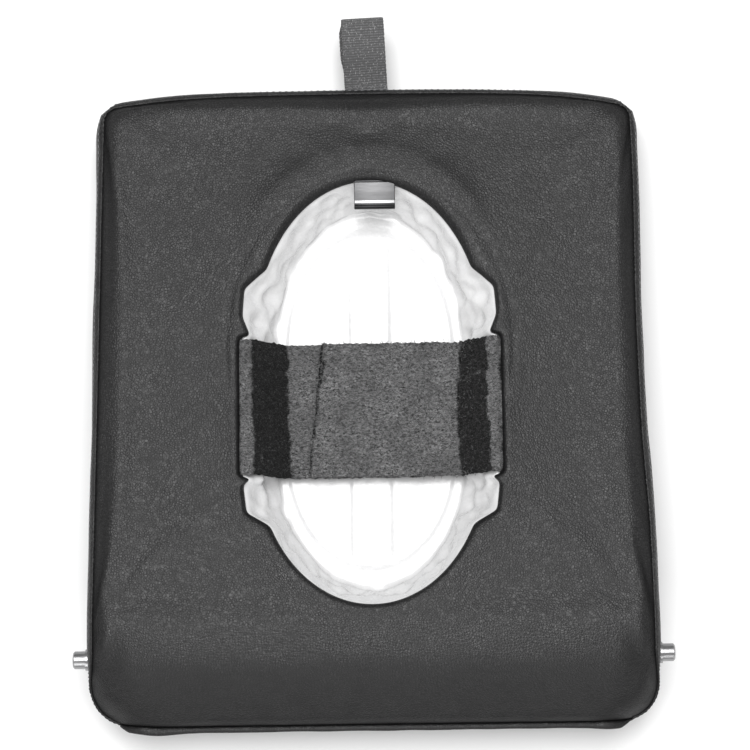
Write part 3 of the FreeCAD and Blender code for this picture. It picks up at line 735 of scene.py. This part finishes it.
def make_tray(plastic):
    """Thin moulded tray: flange under the leather, crinkled walls, floor with a raised band."""
    ring = hole_ring(slot_half=69.5 * MM)
    floor = floor_ring()
    centre = np.array([0.0, -12.0 * MM])
    tangent = ring_tangents(ring)
    outward = np.stack([-tangent[:, 1], tangent[:, 0]], 1)
    reach = np.where(np.abs(ring[:, 0]) > 68 * MM, 0.8 * MM, 6.0 * MM)
    reach = blur_ring(reach[:, None], 1.5)
    places = [(ring + outward * reach * out, TRAY_RIM, 0.0) for out in (1.0, 0.4, 0.05)]
    for k in range(1, TRAY_WALL_ROWS + 1):
        s = k / TRAY_WALL_ROWS
        depth = TRAY_RIM + (-TRAY_DEPTH - TRAY_RIM) * (1 - (1 - s) ** 1.35)
        places.append((ring + (floor - ring) * s ** 0.9, depth, math.sin(math.pi * s) ** 0.6))
    for f, rise in ((0.035, 0.15), (0.07, 0.0), (0.10, 0.0), (0.115, 0.5), (0.13, 0.55)):
        places.append((floor + (centre - floor) * f, -TRAY_DEPTH + rise * MM, 0.0))
    for f in np.linspace(0.16, 0.97, TRAY_FLOOR_ROWS):
        places.append((floor + (centre - floor) * f, -TRAY_DEPTH + 0.55 * MM, 0.0))
    rows = []
    for flat, depth, crinkle in places:
        point = grip_points(flat[:, 0], flat[:, 1], depth)
        if crinkle:
            dent = crumple(point) * crinkle * 2.4 * MM
            point[:, :2] -= outward * dent[:, None]
            point[:, 2] += 0.5 * dent
        rows.append(point)
    grid = np.array(rows)
    raise_floor_band(grid[-TRAY_FLOOR_ROWS:])
    middle = grip_points(centre[0], centre[1], -TRAY_DEPTH + 1.15 * MM)
    tray = mesh_object("moulded_tray", *dish(grid, middle))
    shell = tray.modifiers.new("wall", "SOLIDIFY")
    shell.thickness = 1.4 * MM
    shell.offset = -1.0
    finish_piece(tray, plastic, replaces=("tray",))


def raise_floor_band(grid):
    """Plain raised band down the middle of the tray's floor, with a shallow dished arc beside the strap."""
    v = grid[..., 1] / math.cos(WEDGE)
    band = smooth(-np.abs(grid[..., 0]), -12 * MM, -10.5 * MM)
    band = band * smooth(-v, -93 * MM, -91 * MM) * smooth(v, -115 * MM, -113 * MM)
    ring = np.hypot(grid[..., 0] + 8 * MM, v - 4 * MM)
    arc = np.exp(-((ring - 33 * MM) / (1.4 * MM)) ** 2)
    grid[..., 2] += 0.6 * MM * band + 0.35 * MM * arc


# ---- straps ----

def smooth_path(points, radius, count):
    """Open path with rounded corners, evenly resampled."""
    fine = resample(points, 600, closed=False)
    step = np.linalg.norm(fine[1] - fine[0])
    spread_samples = max(radius / step * 0.5, 0.1)
    reach = int(3 * spread_samples) + 1
    weights = bell(reach, spread_samples)
    padded = np.vstack([2 * fine[0] - fine[reach:0:-1], fine, 2 * fine[-1] - fine[-2:-reach - 2:-1]])
    soft = np.stack([np.convolve(padded[:, i], weights, mode="valid") for i in range(2)], 1)
    return resample(soft, count, closed=False)


def strip_normals(path):
    """Unit tangents of an open path in a plane, and the normals beside them."""
    tangent = np.gradient(path, axis=0)
    tangent /= np.linalg.norm(tangent, axis=1, keepdims=True)
    return tangent, np.stack([-tangent[:, 1], tangent[:, 0]], 1)


def strap_strip(name, path, slant, lumps, seed):
    """Thick felt strip along a path in (u, w): rough faces, uneven edges, a free end cut at a slant."""
    count = len(path)
    across = STRAP_COLUMNS
    tangent, normal = strip_normals(path)
    if normal[count // 2, 1] < 0:
        normal = -normal
    lengths = places_of(path)
    far = (lengths / lengths[-1])[:, None]
    places = np.linspace(-0.5, 0.5, across)[None]
    wobble = noise_at(np.stack([lengths * 160, lengths * 0 + seed, lengths * 0], 1), 1.0)[:, None] * 0.5 * MM
    grid = np.zeros((count, across, 3))
    grid[..., 0] = path[:, :1] + slant * places * far ** 3
    grid[..., 1] = STRAP_V + places * STRAP_W + wobble * np.abs(2 * places) ** 4
    grid[..., 2] = path[:, 1:]
    frill = noise_at(grid * 600, 1.0, seed) * 0.8 * MM
    grid[:, 0, 1] += frill[:, 0]
    grid[:, -1, 1] += frill[:, -1]
    grid[-1, :, 0] += frill[-1] * 1.4
    # Painted light for the felt: lit on the flat runs, painted shade on the slopes, a painted shadow line
    # along the slanted free end, and brighter on the short run beside the slot.
    flat_part = smooth(np.abs(tangent[:, :1]), 0.93, 0.99)
    step = lengths[1] - lengths[0]
    window = np.hanning(int(PAINTED_LIGHT_BLUR / step) | 1)
    flat_part[-int(END_PAINTED_SHADOW * (slant > 0) / step) - 1:] = 0.0
    flat_part[np.abs(path[:, 0]) > STRAP_TURN_U] *= 1.7
    spaced = np.pad(flat_part[:, 0], len(window) // 2, "edge")
    painted_light = np.convolve(spaced, window / window.sum(), mode="valid")
    rough = noise_at(grid, 210.0, seed) * 0.35 + noise_at(grid, 70.0, seed + 3) * 0.5
    rough += lumps * flat_part * np.abs(noise_at(grid, 260.0, seed + 5)) * 1.6
    thin = np.clip(np.minimum(np.arange(across), np.arange(across)[::-1]) / 1.5, 0.25, 1.0)[None]
    out = np.stack([normal[:, 0], normal[:, 0] * 0, normal[:, 1]], 1)[:, None]
    top = grid + out * (STRAP_T / 2 * thin + rough * 0.8 * MM)[..., None]
    low = grid - out * (STRAP_T / 2 * thin)[..., None]
    top = grip_points(top[..., 0], top[..., 1], top[..., 2])
    low = grip_points(low[..., 0], low[..., 1], low[..., 2])
    size = count * across
    faces = grid_faces(count, across)
    faces += [tuple(reversed([size + k for k in face])) for face in grid_faces(count, across)]
    rim = [(i, 0) for i in range(count)] + [(count - 1, j) for j in range(1, across)]
    rim += [(i, across - 1) for i in range(count - 2, -1, -1)]
    rim += [(0, j) for j in range(across - 2, 0, -1)]
    flat = [i * across + j for i, j in rim]
    for k, a in enumerate(flat):
        b = flat[(k + 1) % len(flat)]
        faces.append((a, b, size + b, size + a))
    obj = mesh_object(name, np.concatenate([top.reshape(-1, 3), low.reshape(-1, 3)]), faces)
    set_painted_light(obj, np.tile(np.repeat(painted_light, across), 2))
    return obj, top


def make_straps(felt, hooks):
    foot = -TRAY_DEPTH - 2 * MM + STRAP_T / 2
    slot = STRAP_SLOT_U
    left_points = [(-92 * MM, foot), (-slot, foot), (-slot, STRAP_RIM_W), (-STRAP_TURN_U, STRAP_RIM_W),
                   (-SLOPE_END_U, LEFT_LEVEL), (30 * MM, LEFT_LEVEL)]
    left_path = smooth_path(np.array(left_points), STRAP_BEND, 170)
    left = strap_strip("felt_strap_left", left_path, 0.0, 0.3, 11.0)[0]
    subdivide(left)
    finish_piece(left, felt, replaces=("strap_left",))

    root_points = [(92 * MM, foot), (slot, foot), (slot, -1.3 * MM)]
    root_path = smooth_path(np.array(root_points), STRAP_BEND, 50)
    root = strap_strip("felt_strap_root", root_path, 0.0, 0.0, 17.0)[0]
    finish_piece(root, felt, replaces=("strap_right_root",))

    right_points = [(slot, STRAP_RIM_W - 0.8 * MM), (slot - 0.6 * MM, STRAP_RIM_W),
                    (STRAP_TURN_U, STRAP_RIM_W), (SLOPE_END_U + 3 * MM, RIGHT_LEVEL),
                    (FREE_END_U, RIGHT_LEVEL)]
    right_path = smooth_path(np.array(right_points), 2.4 * MM, 160)
    right, top = strap_strip("felt_strap_right", right_path, FREE_END_SLANT, 1.0, 23.0)
    subdivide(right)
    finish_piece(right, felt, body="strap", replaces=("strap_right",))
    make_fibres("strap_fibres", top, felt)
    hook = frame["nodes"]["hook_patch"]
    hook.data.materials.clear()
    hook.data.materials.append(hooks)


def make_fibres(name, top, felt):
    """Loose felt fibres that stand off the strap, thickest along its edges and free end."""
    points = []
    faces = []
    up = np.array([0.0, 0.0, 1.0])
    count, across = top.shape[:2]
    for _ in range(FIBRES):
        i = rng.randrange(FIBRE_FROM_ROW, count)
        j = rng.randrange(across)
        place = rng.random()
        if place < 0.3:
            j = rng.choice((0, 1, across - 2, across - 1))
        elif place < 0.45:
            i = count - 1 - rng.randrange(3)
        angle = rng.uniform(0, 2 * math.pi)
        run = np.array([math.cos(angle), math.sin(angle), 0.0]) * rng.uniform(0.6, 2.0) * MM
        lift = up * rng.uniform(0.1, 0.6) * MM
        add_stitch(points, faces, top[i, j] + lift * 0.3, top[i, j] + run + lift, up, 0.11 * MM)
    obj = mesh_object(name, points, faces)
    # The fibres get full painted light.
    set_painted_light(obj, np.ones(len(obj.data.vertices)))
    finish_piece(obj, felt, body="strap")


# ---- pull loop ----

def loop_frame():
    """Root point and directions of the leaning pull loop."""
    joint = JOINTS["loop_flex"]
    root = np.array(joint["pos_m"])
    across = np.array(joint["axis"])
    along = np.array([-across[1], across[0], 0.0])
    return root, across, along


def webbing(name, path, width, material):
    """Ribbon of webbing along a path in (along, up), with soft rounded selvedges."""
    root, across, along = loop_frame()
    rim = [(-0.5, 0.0), (-0.49, 0.3), (-0.465, 0.45), (-0.42, 0.5)]
    upper = rim + [(a, 0.5) for a in np.linspace(-0.32, 0.32, 9)] + [(-a, b) for a, b in rim[:0:-1]]
    section = upper + [(-a, -b) for a, b in upper]
    normal = strip_normals(path)[1]
    lengths = places_of(path)
    points = []
    uv = []
    for i, place in enumerate(path):
        wave = 0.15 * MM * math.sin(lengths[i] * 2400)
        for a, b in section:
            at = place + normal[i] * b * WEB_T
            side = a * (width + wave * (abs(a) > 0.48)) - loop_skew(place)
            points.append(root + across * side + along * at[0] + np.array([0.0, 0.0, at[1]]))
            uv.append((lengths[i], a * width))
    faces = grid_faces(len(path), len(section), wrap=True) + end_faces(len(path), len(section))
    obj = mesh_object(name, points, faces)
    set_uv(obj, uv)
    obj.data.materials.append(material)
    return obj


def loop_skew(place):
    """Sideways shift of the loop's lower layer, which shows past the upper one on the left."""
    under = smooth(-place[1], -1 * MM, 4 * MM)
    in_middle = smooth(place[0], 5 * MM, 18 * MM) * smooth(-place[0], -38 * MM, -31 * MM)
    return LOOP_SKEW * float(under * in_middle)


def make_loop(web, thread):
    """One folded ribbon from the top gusset to its tip and back, stitched at its root."""
    root, across, along = loop_frame()
    node_lo, node_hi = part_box("hang_loop")
    tip_r = (node_hi[2] - node_lo[2]) / 2 - WEB_T
    width = WEB_W
    tip = node_hi[1] - root[1] - tip_r + LOOP_EXTRA
    layer = LOOP_LAYER
    sewn = -(root[1] - TOP_Y) - 5.0 * MM
    arc = [(tip + tip_r * math.sin(a), tip_r * math.cos(a)) for a in np.radians(np.linspace(0, 180, 25))]
    upper = [(sewn, layer), (4 * MM, layer), (16 * MM, layer + 2.6 * MM)]
    lower = [(a, -b) for a, b in reversed(upper)]
    path = smooth_path(np.array(upper + arc + lower), 3.0 * MM, 170)
    ribbon = webbing("webbing_loop", path, width, web)
    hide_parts("hang_loop", "loop_root")
    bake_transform(ribbon)
    points = []
    faces = []
    up = np.array([0.0, 0.0, 1.0])
    for row in LOOP_ROWS:
        for k in range(8):
            a = -width / 2 + (1.8 + k * 2.9) * MM
            start = root + across * a + along * row * MM + up * (layer + 0.7 * MM)
            add_stitch(points, faces, start, start + across * 2.3 * MM, up, 0.3 * MM)
    obj = mesh_object("loop_stitches", points, faces)
    finish_piece(obj, thread)


# ---- clip ----

def make_clip(steel, painted_shade_steel, painted_highlight_steel):
    """Sprung steel leaf with a rolled lip; its root hooks over the tray's rim."""
    lo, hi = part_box("clip_leaf")
    hinge = JOINTS["clip_flex"]["pos_m"]
    start_v = hinge[1] * math.cos(WEDGE) - (hinge[2] - GRIP_Z0) * math.sin(WEDGE)
    tip_v = CLIP_TIP_V
    rise = CLIP_RISE
    leaf = [(start_v, rise), (tip_v + 8.5 * MM, rise - 0.5 * MM), (tip_v + 4.5 * MM, rise - 1.4 * MM)]
    lip = [(tip_v + 1.8 * MM + LIP_R * math.cos(a), -3.4 * MM + LIP_R * math.sin(a))
           for a in np.radians(np.linspace(80, 300, 24))]
    profile = smooth_path(np.array(leaf + lip), 1.0 * MM, 72)
    leaf_obj = clip_strip("clip_leaf_steel", profile, lo[0], hi[0], steel, "clip", ("clip_leaf",))
    # Painted shade: the rolled lip gets the darkened steel; painted highlight: a narrow band just above it
    # gets the brighter steel.
    leaf_obj.data.materials.append(painted_shade_steel)
    leaf_obj.data.materials.append(painted_highlight_steel)
    for face in leaf_obj.data.polygons:
        v = face.center.y / math.cos(WEDGE)
        face.material_index = 1 if v < tip_v + 2.1 * MM else 2 if v < tip_v + 3.5 * MM else 0
    # The root gets the painted-shade steel too.
    root = [(start_v + 0.3 * MM, rise), (start_v + 1.9 * MM, rise), (start_v + 1.2 * MM, -3.6 * MM),
            (start_v - 3.2 * MM, -15.0 * MM)]
    clip_strip("clip_root_steel", smooth_path(np.array(root), 0.8 * MM, 30), lo[0], hi[0], painted_shade_steel, BODY,
               ("clip_root",))


def clip_strip(name, profile, u_lo, u_hi, steel, body, replaces):
    """Sheet-metal strip that follows a profile in (v, w)."""
    edge = 0.25 * MM
    normal = strip_normals(profile)[1]
    section = [(u_lo, 0.0), (u_lo + edge, 0.5), (u_hi - edge, 0.5), (u_hi, 0.0), (u_hi - edge, -0.5),
               (u_lo + edge, -0.5)]
    points = []
    for place, out in zip(profile, normal):
        for u, b in section:
            at = place + out * b * CLIP_T
            points.append(grip_points(u, at[0], at[1]))
    faces = grid_faces(len(profile), len(section), wrap=True) + end_faces(len(profile), len(section))
    obj = mesh_object(name, points, faces)
    edges = obj.modifiers.new("edges", "BEVEL")
    edges.width = 0.12 * MM
    edges.segments = 2
    edges.limit_method = "ANGLE"
    finish_piece(obj, steel, body=body, replaces=replaces)
    return obj


# ---- materials ----

class Shader:
    """A node material with one Principled shader."""

    def __init__(self, name, color, roughness, metallic=0.0):
        self.material = bpy.data.materials.new(name)
        self.material.use_nodes = True
        self.nodes = self.material.node_tree.nodes
        self.links = self.material.node_tree.links
        self.surface = self.nodes["Principled BSDF"]
        self.surface.inputs["Base Color"].default_value = (*color, 1.0)
        self.surface.inputs["Roughness"].default_value = roughness
        self.surface.inputs["Metallic"].default_value = metallic

    def set(self, socket, value):
        self.surface.inputs[socket].default_value = value

    def coords(self, output="Object", stretch=(1.0, 1.0, 1.0)):
        place = self.nodes.new("ShaderNodeTexCoord")
        mapping = self.nodes.new("ShaderNodeMapping")
        mapping.inputs["Scale"].default_value = stretch
        self.links.new(place.outputs[output], mapping.inputs["Vector"])
        return mapping.outputs["Vector"]

    def texture(self, kind, vector, **values):
        node = self.nodes.new("ShaderNodeTex" + kind)
        for name, value in values.items():
            node.inputs[name].default_value = value
        self.links.new(vector, node.inputs["Vector"])
        return node

    def noise(self, vector, scale, detail=3.0, rough=0.5, distortion=0.0):
        values = {"Scale": scale, "Detail": detail, "Roughness": rough, "Distortion": distortion}
        return self.texture("Noise", vector, **values).outputs["Fac"]

    def cells(self, vector, scale, feature="DISTANCE_TO_EDGE"):
        node = self.texture("Voronoi", vector, Scale=scale)
        node.feature = feature
        return node.outputs["Distance"]

    def wave(self, vector, scale, direction, distortion=0.0):
        node = self.texture("Wave", vector, Scale=scale, Distortion=distortion)
        node.bands_direction = direction
        return node.outputs["Fac"]

    def ramp(self, value, low, high, start=(0.0, 0.0, 0.0), stop=(1.0, 1.0, 1.0)):
        node = self.nodes.new("ShaderNodeValToRGB")
        node.color_ramp.elements[0].position = low
        node.color_ramp.elements[1].position = high
        node.color_ramp.elements[0].color = (*start, 1.0)
        node.color_ramp.elements[1].color = (*stop, 1.0)
        self.links.new(value, node.inputs["Fac"])
        return node.outputs["Color"]

    def math(self, operation, a, b):
        node = self.nodes.new("ShaderNodeMath")
        node.operation = operation
        for socket, value in zip(node.inputs, (a, b)):
            if isinstance(value, (int, float)):
                socket.default_value = value
            else:
                self.links.new(value, socket)
        return node.outputs["Value"]

    def mix(self, factor, a, b):
        node = self.nodes.new("ShaderNodeMix")
        node.data_type = "RGBA"
        inputs = [s for s in node.inputs if s.type == "RGBA"]
        if isinstance(factor, (int, float)):
            node.inputs[0].default_value = factor
        else:
            self.links.new(factor, node.inputs[0])
        for socket, value in zip(inputs, (a, b)):
            if isinstance(value, tuple):
                socket.default_value = (*value, 1.0)
            else:
                self.links.new(value, socket)
        return [s for s in node.outputs if s.type == "RGBA"][0]

    def bump(self, height, distance, strength=1.0):
        node = self.nodes.new("ShaderNodeBump")
        node.inputs["Distance"].default_value = distance
        node.inputs["Strength"].default_value = strength
        self.links.new(height, node.inputs["Height"])
        return node.outputs["Normal"]

    def plug(self, value, socket):
        self.links.new(value, self.surface.inputs[socket])


def leather_material():
    s = Shader("leatherette", (0.02, 0.02, 0.0205), 0.45)
    vector = s.coords()
    warp = s.nodes.new("ShaderNodeVectorMath")
    warp.operation = "MULTIPLY_ADD"
    ripple = s.texture("Noise", vector, Scale=420.0)
    s.links.new(ripple.outputs["Color"], warp.inputs[0])
    warp.inputs[1].default_value = (0.0011,) * 3
    s.links.new(vector, warp.inputs[2])
    bent = warp.outputs["Vector"]
    pebbles = s.cells(bent, PEBBLES, "F1")
    creases = s.ramp(s.cells(bent, PEBBLES), 0.0, 0.3)
    fine = s.noise(vector, 1500.0, 2.0)
    broad = s.noise(vector, 20.0, 3.0)
    tone = s.mix(broad, (0.0112, 0.0110, 0.0113), (0.0158, 0.0155, 0.0160))
    tone = s.mix(creases, (0.006, 0.006, 0.0062), tone)
    s.plug(tone, "Base Color")
    s.plug(s.ramp(s.noise(vector, 90.0, 4.0), 0.3, 0.8, (0.42,) * 3, (0.54,) * 3), "Roughness")
    height = s.math("SUBTRACT", s.math("MULTIPLY", creases, 0.7), s.math("MULTIPLY", pebbles, 0.6))
    height = s.math("ADD", height, s.math("MULTIPLY", fine, 0.4))
    s.plug(s.bump(height, GRAIN_DEPTH, 0.52), "Normal")
    facing = s.nodes.new("ShaderNodeLayerWeight")
    facing.inputs["Blend"].default_value = 0.5
    s.plug(s.ramp(facing.outputs["Facing"], 0.01, 0.45, (0.52,) * 3, (0.10,) * 3), "Specular IOR Level")
    return s.material


def plastic_material():
    s = Shader("white_plastic", (0.66, 0.66, 0.665), 0.3)
    vector = s.coords()
    s.plug(s.mix(s.noise(vector, 60.0, 3.0), (0.62, 0.62, 0.625), (0.70, 0.70, 0.70)), "Base Color")
    s.plug(s.ramp(s.noise(vector, 300.0, 3.0), 0.3, 0.7, (0.18,) * 3, (0.34,) * 3), "Roughness")
    s.plug(s.bump(s.noise(vector, 300.0, 4.0), 0.0004, 0.5), "Normal")
    s.set("Coat Weight", 0.3)
    s.set("Coat Roughness", 0.12)
    return s.material


def felt_material():
    """Matted grey felt with painted light: lit on the flat runs, painted shade on the slopes and along the
    free end.
    """
    s = Shader("felt_with_painted_shade", (0.06, 0.06, 0.06), 0.95)
    vector = s.coords()
    tangled = s.noise(s.coords(stretch=(1.0, 1.7, 1.3)), 620.0, 6.0, 0.85, 1.0)
    patches = s.noise(vector, 45.0, 9.0, 0.75)
    painted_light = s.nodes.new("ShaderNodeAttribute")
    painted_light.attribute_name = "painted_light"
    # Painted light from the strap's shape, its edges made wavy by noise patches.
    painted_light_and_patches = s.math("ADD", painted_light.outputs["Fac"], s.math("MULTIPLY", s.math("SUBTRACT", patches, 0.5), 3.2))
    clumps = s.ramp(s.noise(vector, 55.0, 4.0, 0.6), 0.38, 0.66, (0.55,) * 3, (1.0,) * 3)
    # light is the lit felt colour, dark the felt colour under painted shade.
    light = s.mix(s.ramp(tangled, 0.42, 0.66), (0.008, 0.008, 0.0082), (0.52, 0.52, 0.525))
    light = s.mix(clumps, (0.07, 0.07, 0.071), light)
    dark = s.mix(s.ramp(tangled, 0.52, 0.70), (0.0025, 0.0025, 0.0026), (0.15, 0.15, 0.152))
    s.plug(s.mix(s.ramp(painted_light_and_patches, 0.35, 0.65), dark, light), "Base Color")
    knobs = s.cells(s.coords(stretch=(1.0, 1.3, 1.0)), 170.0, "F1")
    height = s.math("SUBTRACT", s.math("MULTIPLY", tangled, 0.8), s.math("MULTIPLY", knobs, 1.5))
    s.plug(s.bump(height, 0.0026, 1.0), "Normal")
    s.set("Sheen Weight", 0.05)
    s.set("Sheen Roughness", 0.5)
    s.set("Specular IOR Level", 0.1)
    return s.material


def webbing_material():
    s = Shader("webbing", (0.06, 0.06, 0.062), 0.8)
    strip = s.coords("UV")
    ribs = s.wave(strip, 250.0, "Y")
    picks = s.wave(strip, 215.0, "X", 0.6)
    weave = s.math("MULTIPLY", picks, s.math("ADD", s.math("MULTIPLY", ribs, 0.35), 0.65))
    specks = s.cells(s.coords("UV", (1.0, 2.2, 1.0)), 480.0, "F1")
    flecks = s.ramp(specks, 0.16, 0.26, (1.0,) * 3, (0.0,) * 3)
    bands = s.noise(s.coords("UV", (1.0, 0.15, 1.0)), 60.0, 3.0)
    weave = s.math("MULTIPLY", weave, s.ramp(s.noise(strip, 700.0, 3.0), 0.3, 0.65))
    tone = s.mix(weave, (0.06, 0.06, 0.061), (0.19, 0.19, 0.193))
    tone = s.mix(s.ramp(bands, 0.45, 0.7, stop=(0.55,) * 3), tone, (0.075, 0.075, 0.076))
    tone = s.mix(s.math("MULTIPLY", flecks, 0.6), tone, (0.38, 0.38, 0.38))
    s.plug(tone, "Base Color")
    s.plug(s.bump(weave, 0.0004, 0.9), "Normal")
    s.set("Sheen Weight", 0.1)
    s.set("Specular IOR Level", 0.3)
    return s.material


def steel_material(name, color, roughness, stretch):
    s = Shader(name, color, roughness, 1.0)
    lines = s.noise(s.coords(stretch=stretch), 900.0, 4.0, 0.6)
    s.plug(s.ramp(lines, 0.3, 0.7, (roughness - 0.08,) * 3, (roughness + 0.1,) * 3), "Roughness")
    s.plug(s.mix(lines, tuple(0.6 * c for c in color), tuple(1.15 * c for c in color)), "Base Color")
    s.plug(s.bump(lines, 0.00006, 0.5), "Normal")
    return s.material


def thread_material():
    s = Shader("thread", (0.16, 0.16, 0.165), 0.7)
    twist = s.noise(s.coords(), 2600.0, 2.0)
    s.plug(s.mix(twist, (0.10, 0.10, 0.105), (0.22, 0.22, 0.225)), "Base Color")
    s.plug(s.bump(twist, 0.0001, 0.6), "Normal")
    return s.material


def plain_material(name, low, high, scale, roughness, bump):
    s = Shader(name, high, roughness)
    value = s.noise(s.coords(), scale, 4.0)
    s.plug(s.mix(value, low, high), "Base Color")
    s.plug(s.bump(value, bump, 0.6), "Normal")
    return s.material


def board_material():
    s = Shader("plywood", (0.6, 0.45, 0.29), 0.6)
    grain = s.noise(s.coords(stretch=(6.0, 0.4, 6.0)), 60.0, 5.0, 0.6, 0.4)
    s.plug(s.mix(grain, (0.42, 0.29, 0.16), (0.68, 0.52, 0.34)), "Base Color")
    s.plug(s.bump(grain, 0.0002, 0.4), "Normal")
    return s.material


def dress_nodes(steel, zinc):
    nylon = plain_material("nylon", (0.60, 0.60, 0.56), (0.72, 0.72, 0.68), 300.0, 0.4, 0.0001)
    board = board_material()
    kinds = {
        "shaft": steel, "retaining_rings": steel, "clip_rivets": steel,
        "bearing_tube": zinc, "left_bracket": zinc, "right_bracket": zinc, "bracket_screws": zinc,
        "bracket_nuts": zinc, "tray_screws": zinc, "tray_nuts": zinc, "bar_screws": zinc, "strap_bars": zinc,
        "left_bush": nylon, "right_bush": nylon, "back_board": board,
    }
    for name, material in kinds.items():
        node = frame["nodes"][name]
        node.data.materials.clear()
        node.data.materials.append(material)


# ---- studio ----

def make_studio():
    corners = [(-4, -4, 0), (4, -4, 0), (4, 4, 0), (-4, 4, 0)]
    floor = mesh_object("studio_floor", corners, [(0, 1, 2, 3)], False)
    floor.location.z = -0.4 * MM
    floor.data.materials.append(plain_material("floor_paint", (0.88,) * 3, (0.92,) * 3, 3.0, 0.8, 0.0001))
    world = bpy.data.worlds.new("studio")
    world.use_nodes = True
    world.node_tree.nodes["Background"].inputs["Color"].default_value = (1.0, 1.0, 1.0, 1.0)
    world.node_tree.nodes["Background"].inputs["Strength"].default_value = WORLD
    bpy.context.scene.world = world
    add_light("overhead", (-0.05, 0.36, 1.8), (0.0, 0.0, 0.05), (1.05, 1.1), OVERHEAD_W)
    add_light("front", (-0.1, -1.3, 0.9), (0.0, -0.15, 0.05), (0.9, 0.6), FRONT_W)


def add_light(name, place, aim, size, power):
    lamp = bpy.data.lights.new(name, "AREA")
    lamp.shape = "RECTANGLE"
    lamp.size, lamp.size_y = size
    lamp.energy = power
    obj = bpy.data.objects.new(name, lamp)
    bpy.context.collection.objects.link(obj)
    obj.location = place
    obj.rotation_euler = (Vector(aim) - Vector(place)).to_track_quat("-Z", "Y").to_euler()


def make_camera():
    back = Vector((0.0, -math.cos(ELEVATION), math.sin(ELEVATION)))
    level_up = Vector((0.0, math.sin(ELEVATION), math.cos(ELEVATION)))
    level_right = Vector((1.0, 0.0, 0.0))
    right = math.cos(ROLL) * level_right - math.sin(ROLL) * level_up
    up = math.sin(ROLL) * level_right + math.cos(ROLL) * level_up
    data = bpy.data.cameras.new("camera")
    data.lens = LENS
    data.sensor_width = 36.0
    data.clip_end = 20.0
    camera = bpy.data.objects.new("camera", data)
    bpy.context.collection.objects.link(camera)
    turn = Matrix((right, up, back)).transposed()
    camera.matrix_world = Matrix.Translation(TARGET + DISTANCE * back) @ turn.to_4x4()
    bpy.context.scene.camera = camera


def main():
    bpy.context.scene.view_settings.view_transform = "Standard"
    make_camera()
    leather = leather_material()
    thread = thread_material()
    steel = steel_material("brushed_steel", (0.34, 0.34, 0.345), 0.32, (0.15, 3.0, 3.0))
    clip_steel = steel_material("clip_steel", (0.11, 0.11, 0.112), 0.40, (0.12, 3.0, 3.0))
    # Painted shade: a darkened copy of the steel for the clip's lip and root.
    painted_shade_steel = steel_material("painted_shade_steel", (0.035, 0.035, 0.036), 0.3, (0.15, 3.0, 3.0))
    zinc = steel_material("zinc_plate", (0.5, 0.5, 0.52), 0.42, (1.0, 1.0, 1.0))
    hooks = plain_material("hook_tape", (0.02,) * 3, (0.06,) * 3, 1400.0, 0.8, 0.0005)
    grid = make_cover(leather)
    make_trim(grid, leather, thread)
    make_tray(plastic_material())
    make_straps(felt_material(), hooks)
    make_loop(webbing_material(), thread)
    # The plain steel also serves as the clip's painted highlight band.
    make_clip(clip_steel, painted_shade_steel, steel)
    dress_nodes(steel, zinc)
    make_studio()


main()
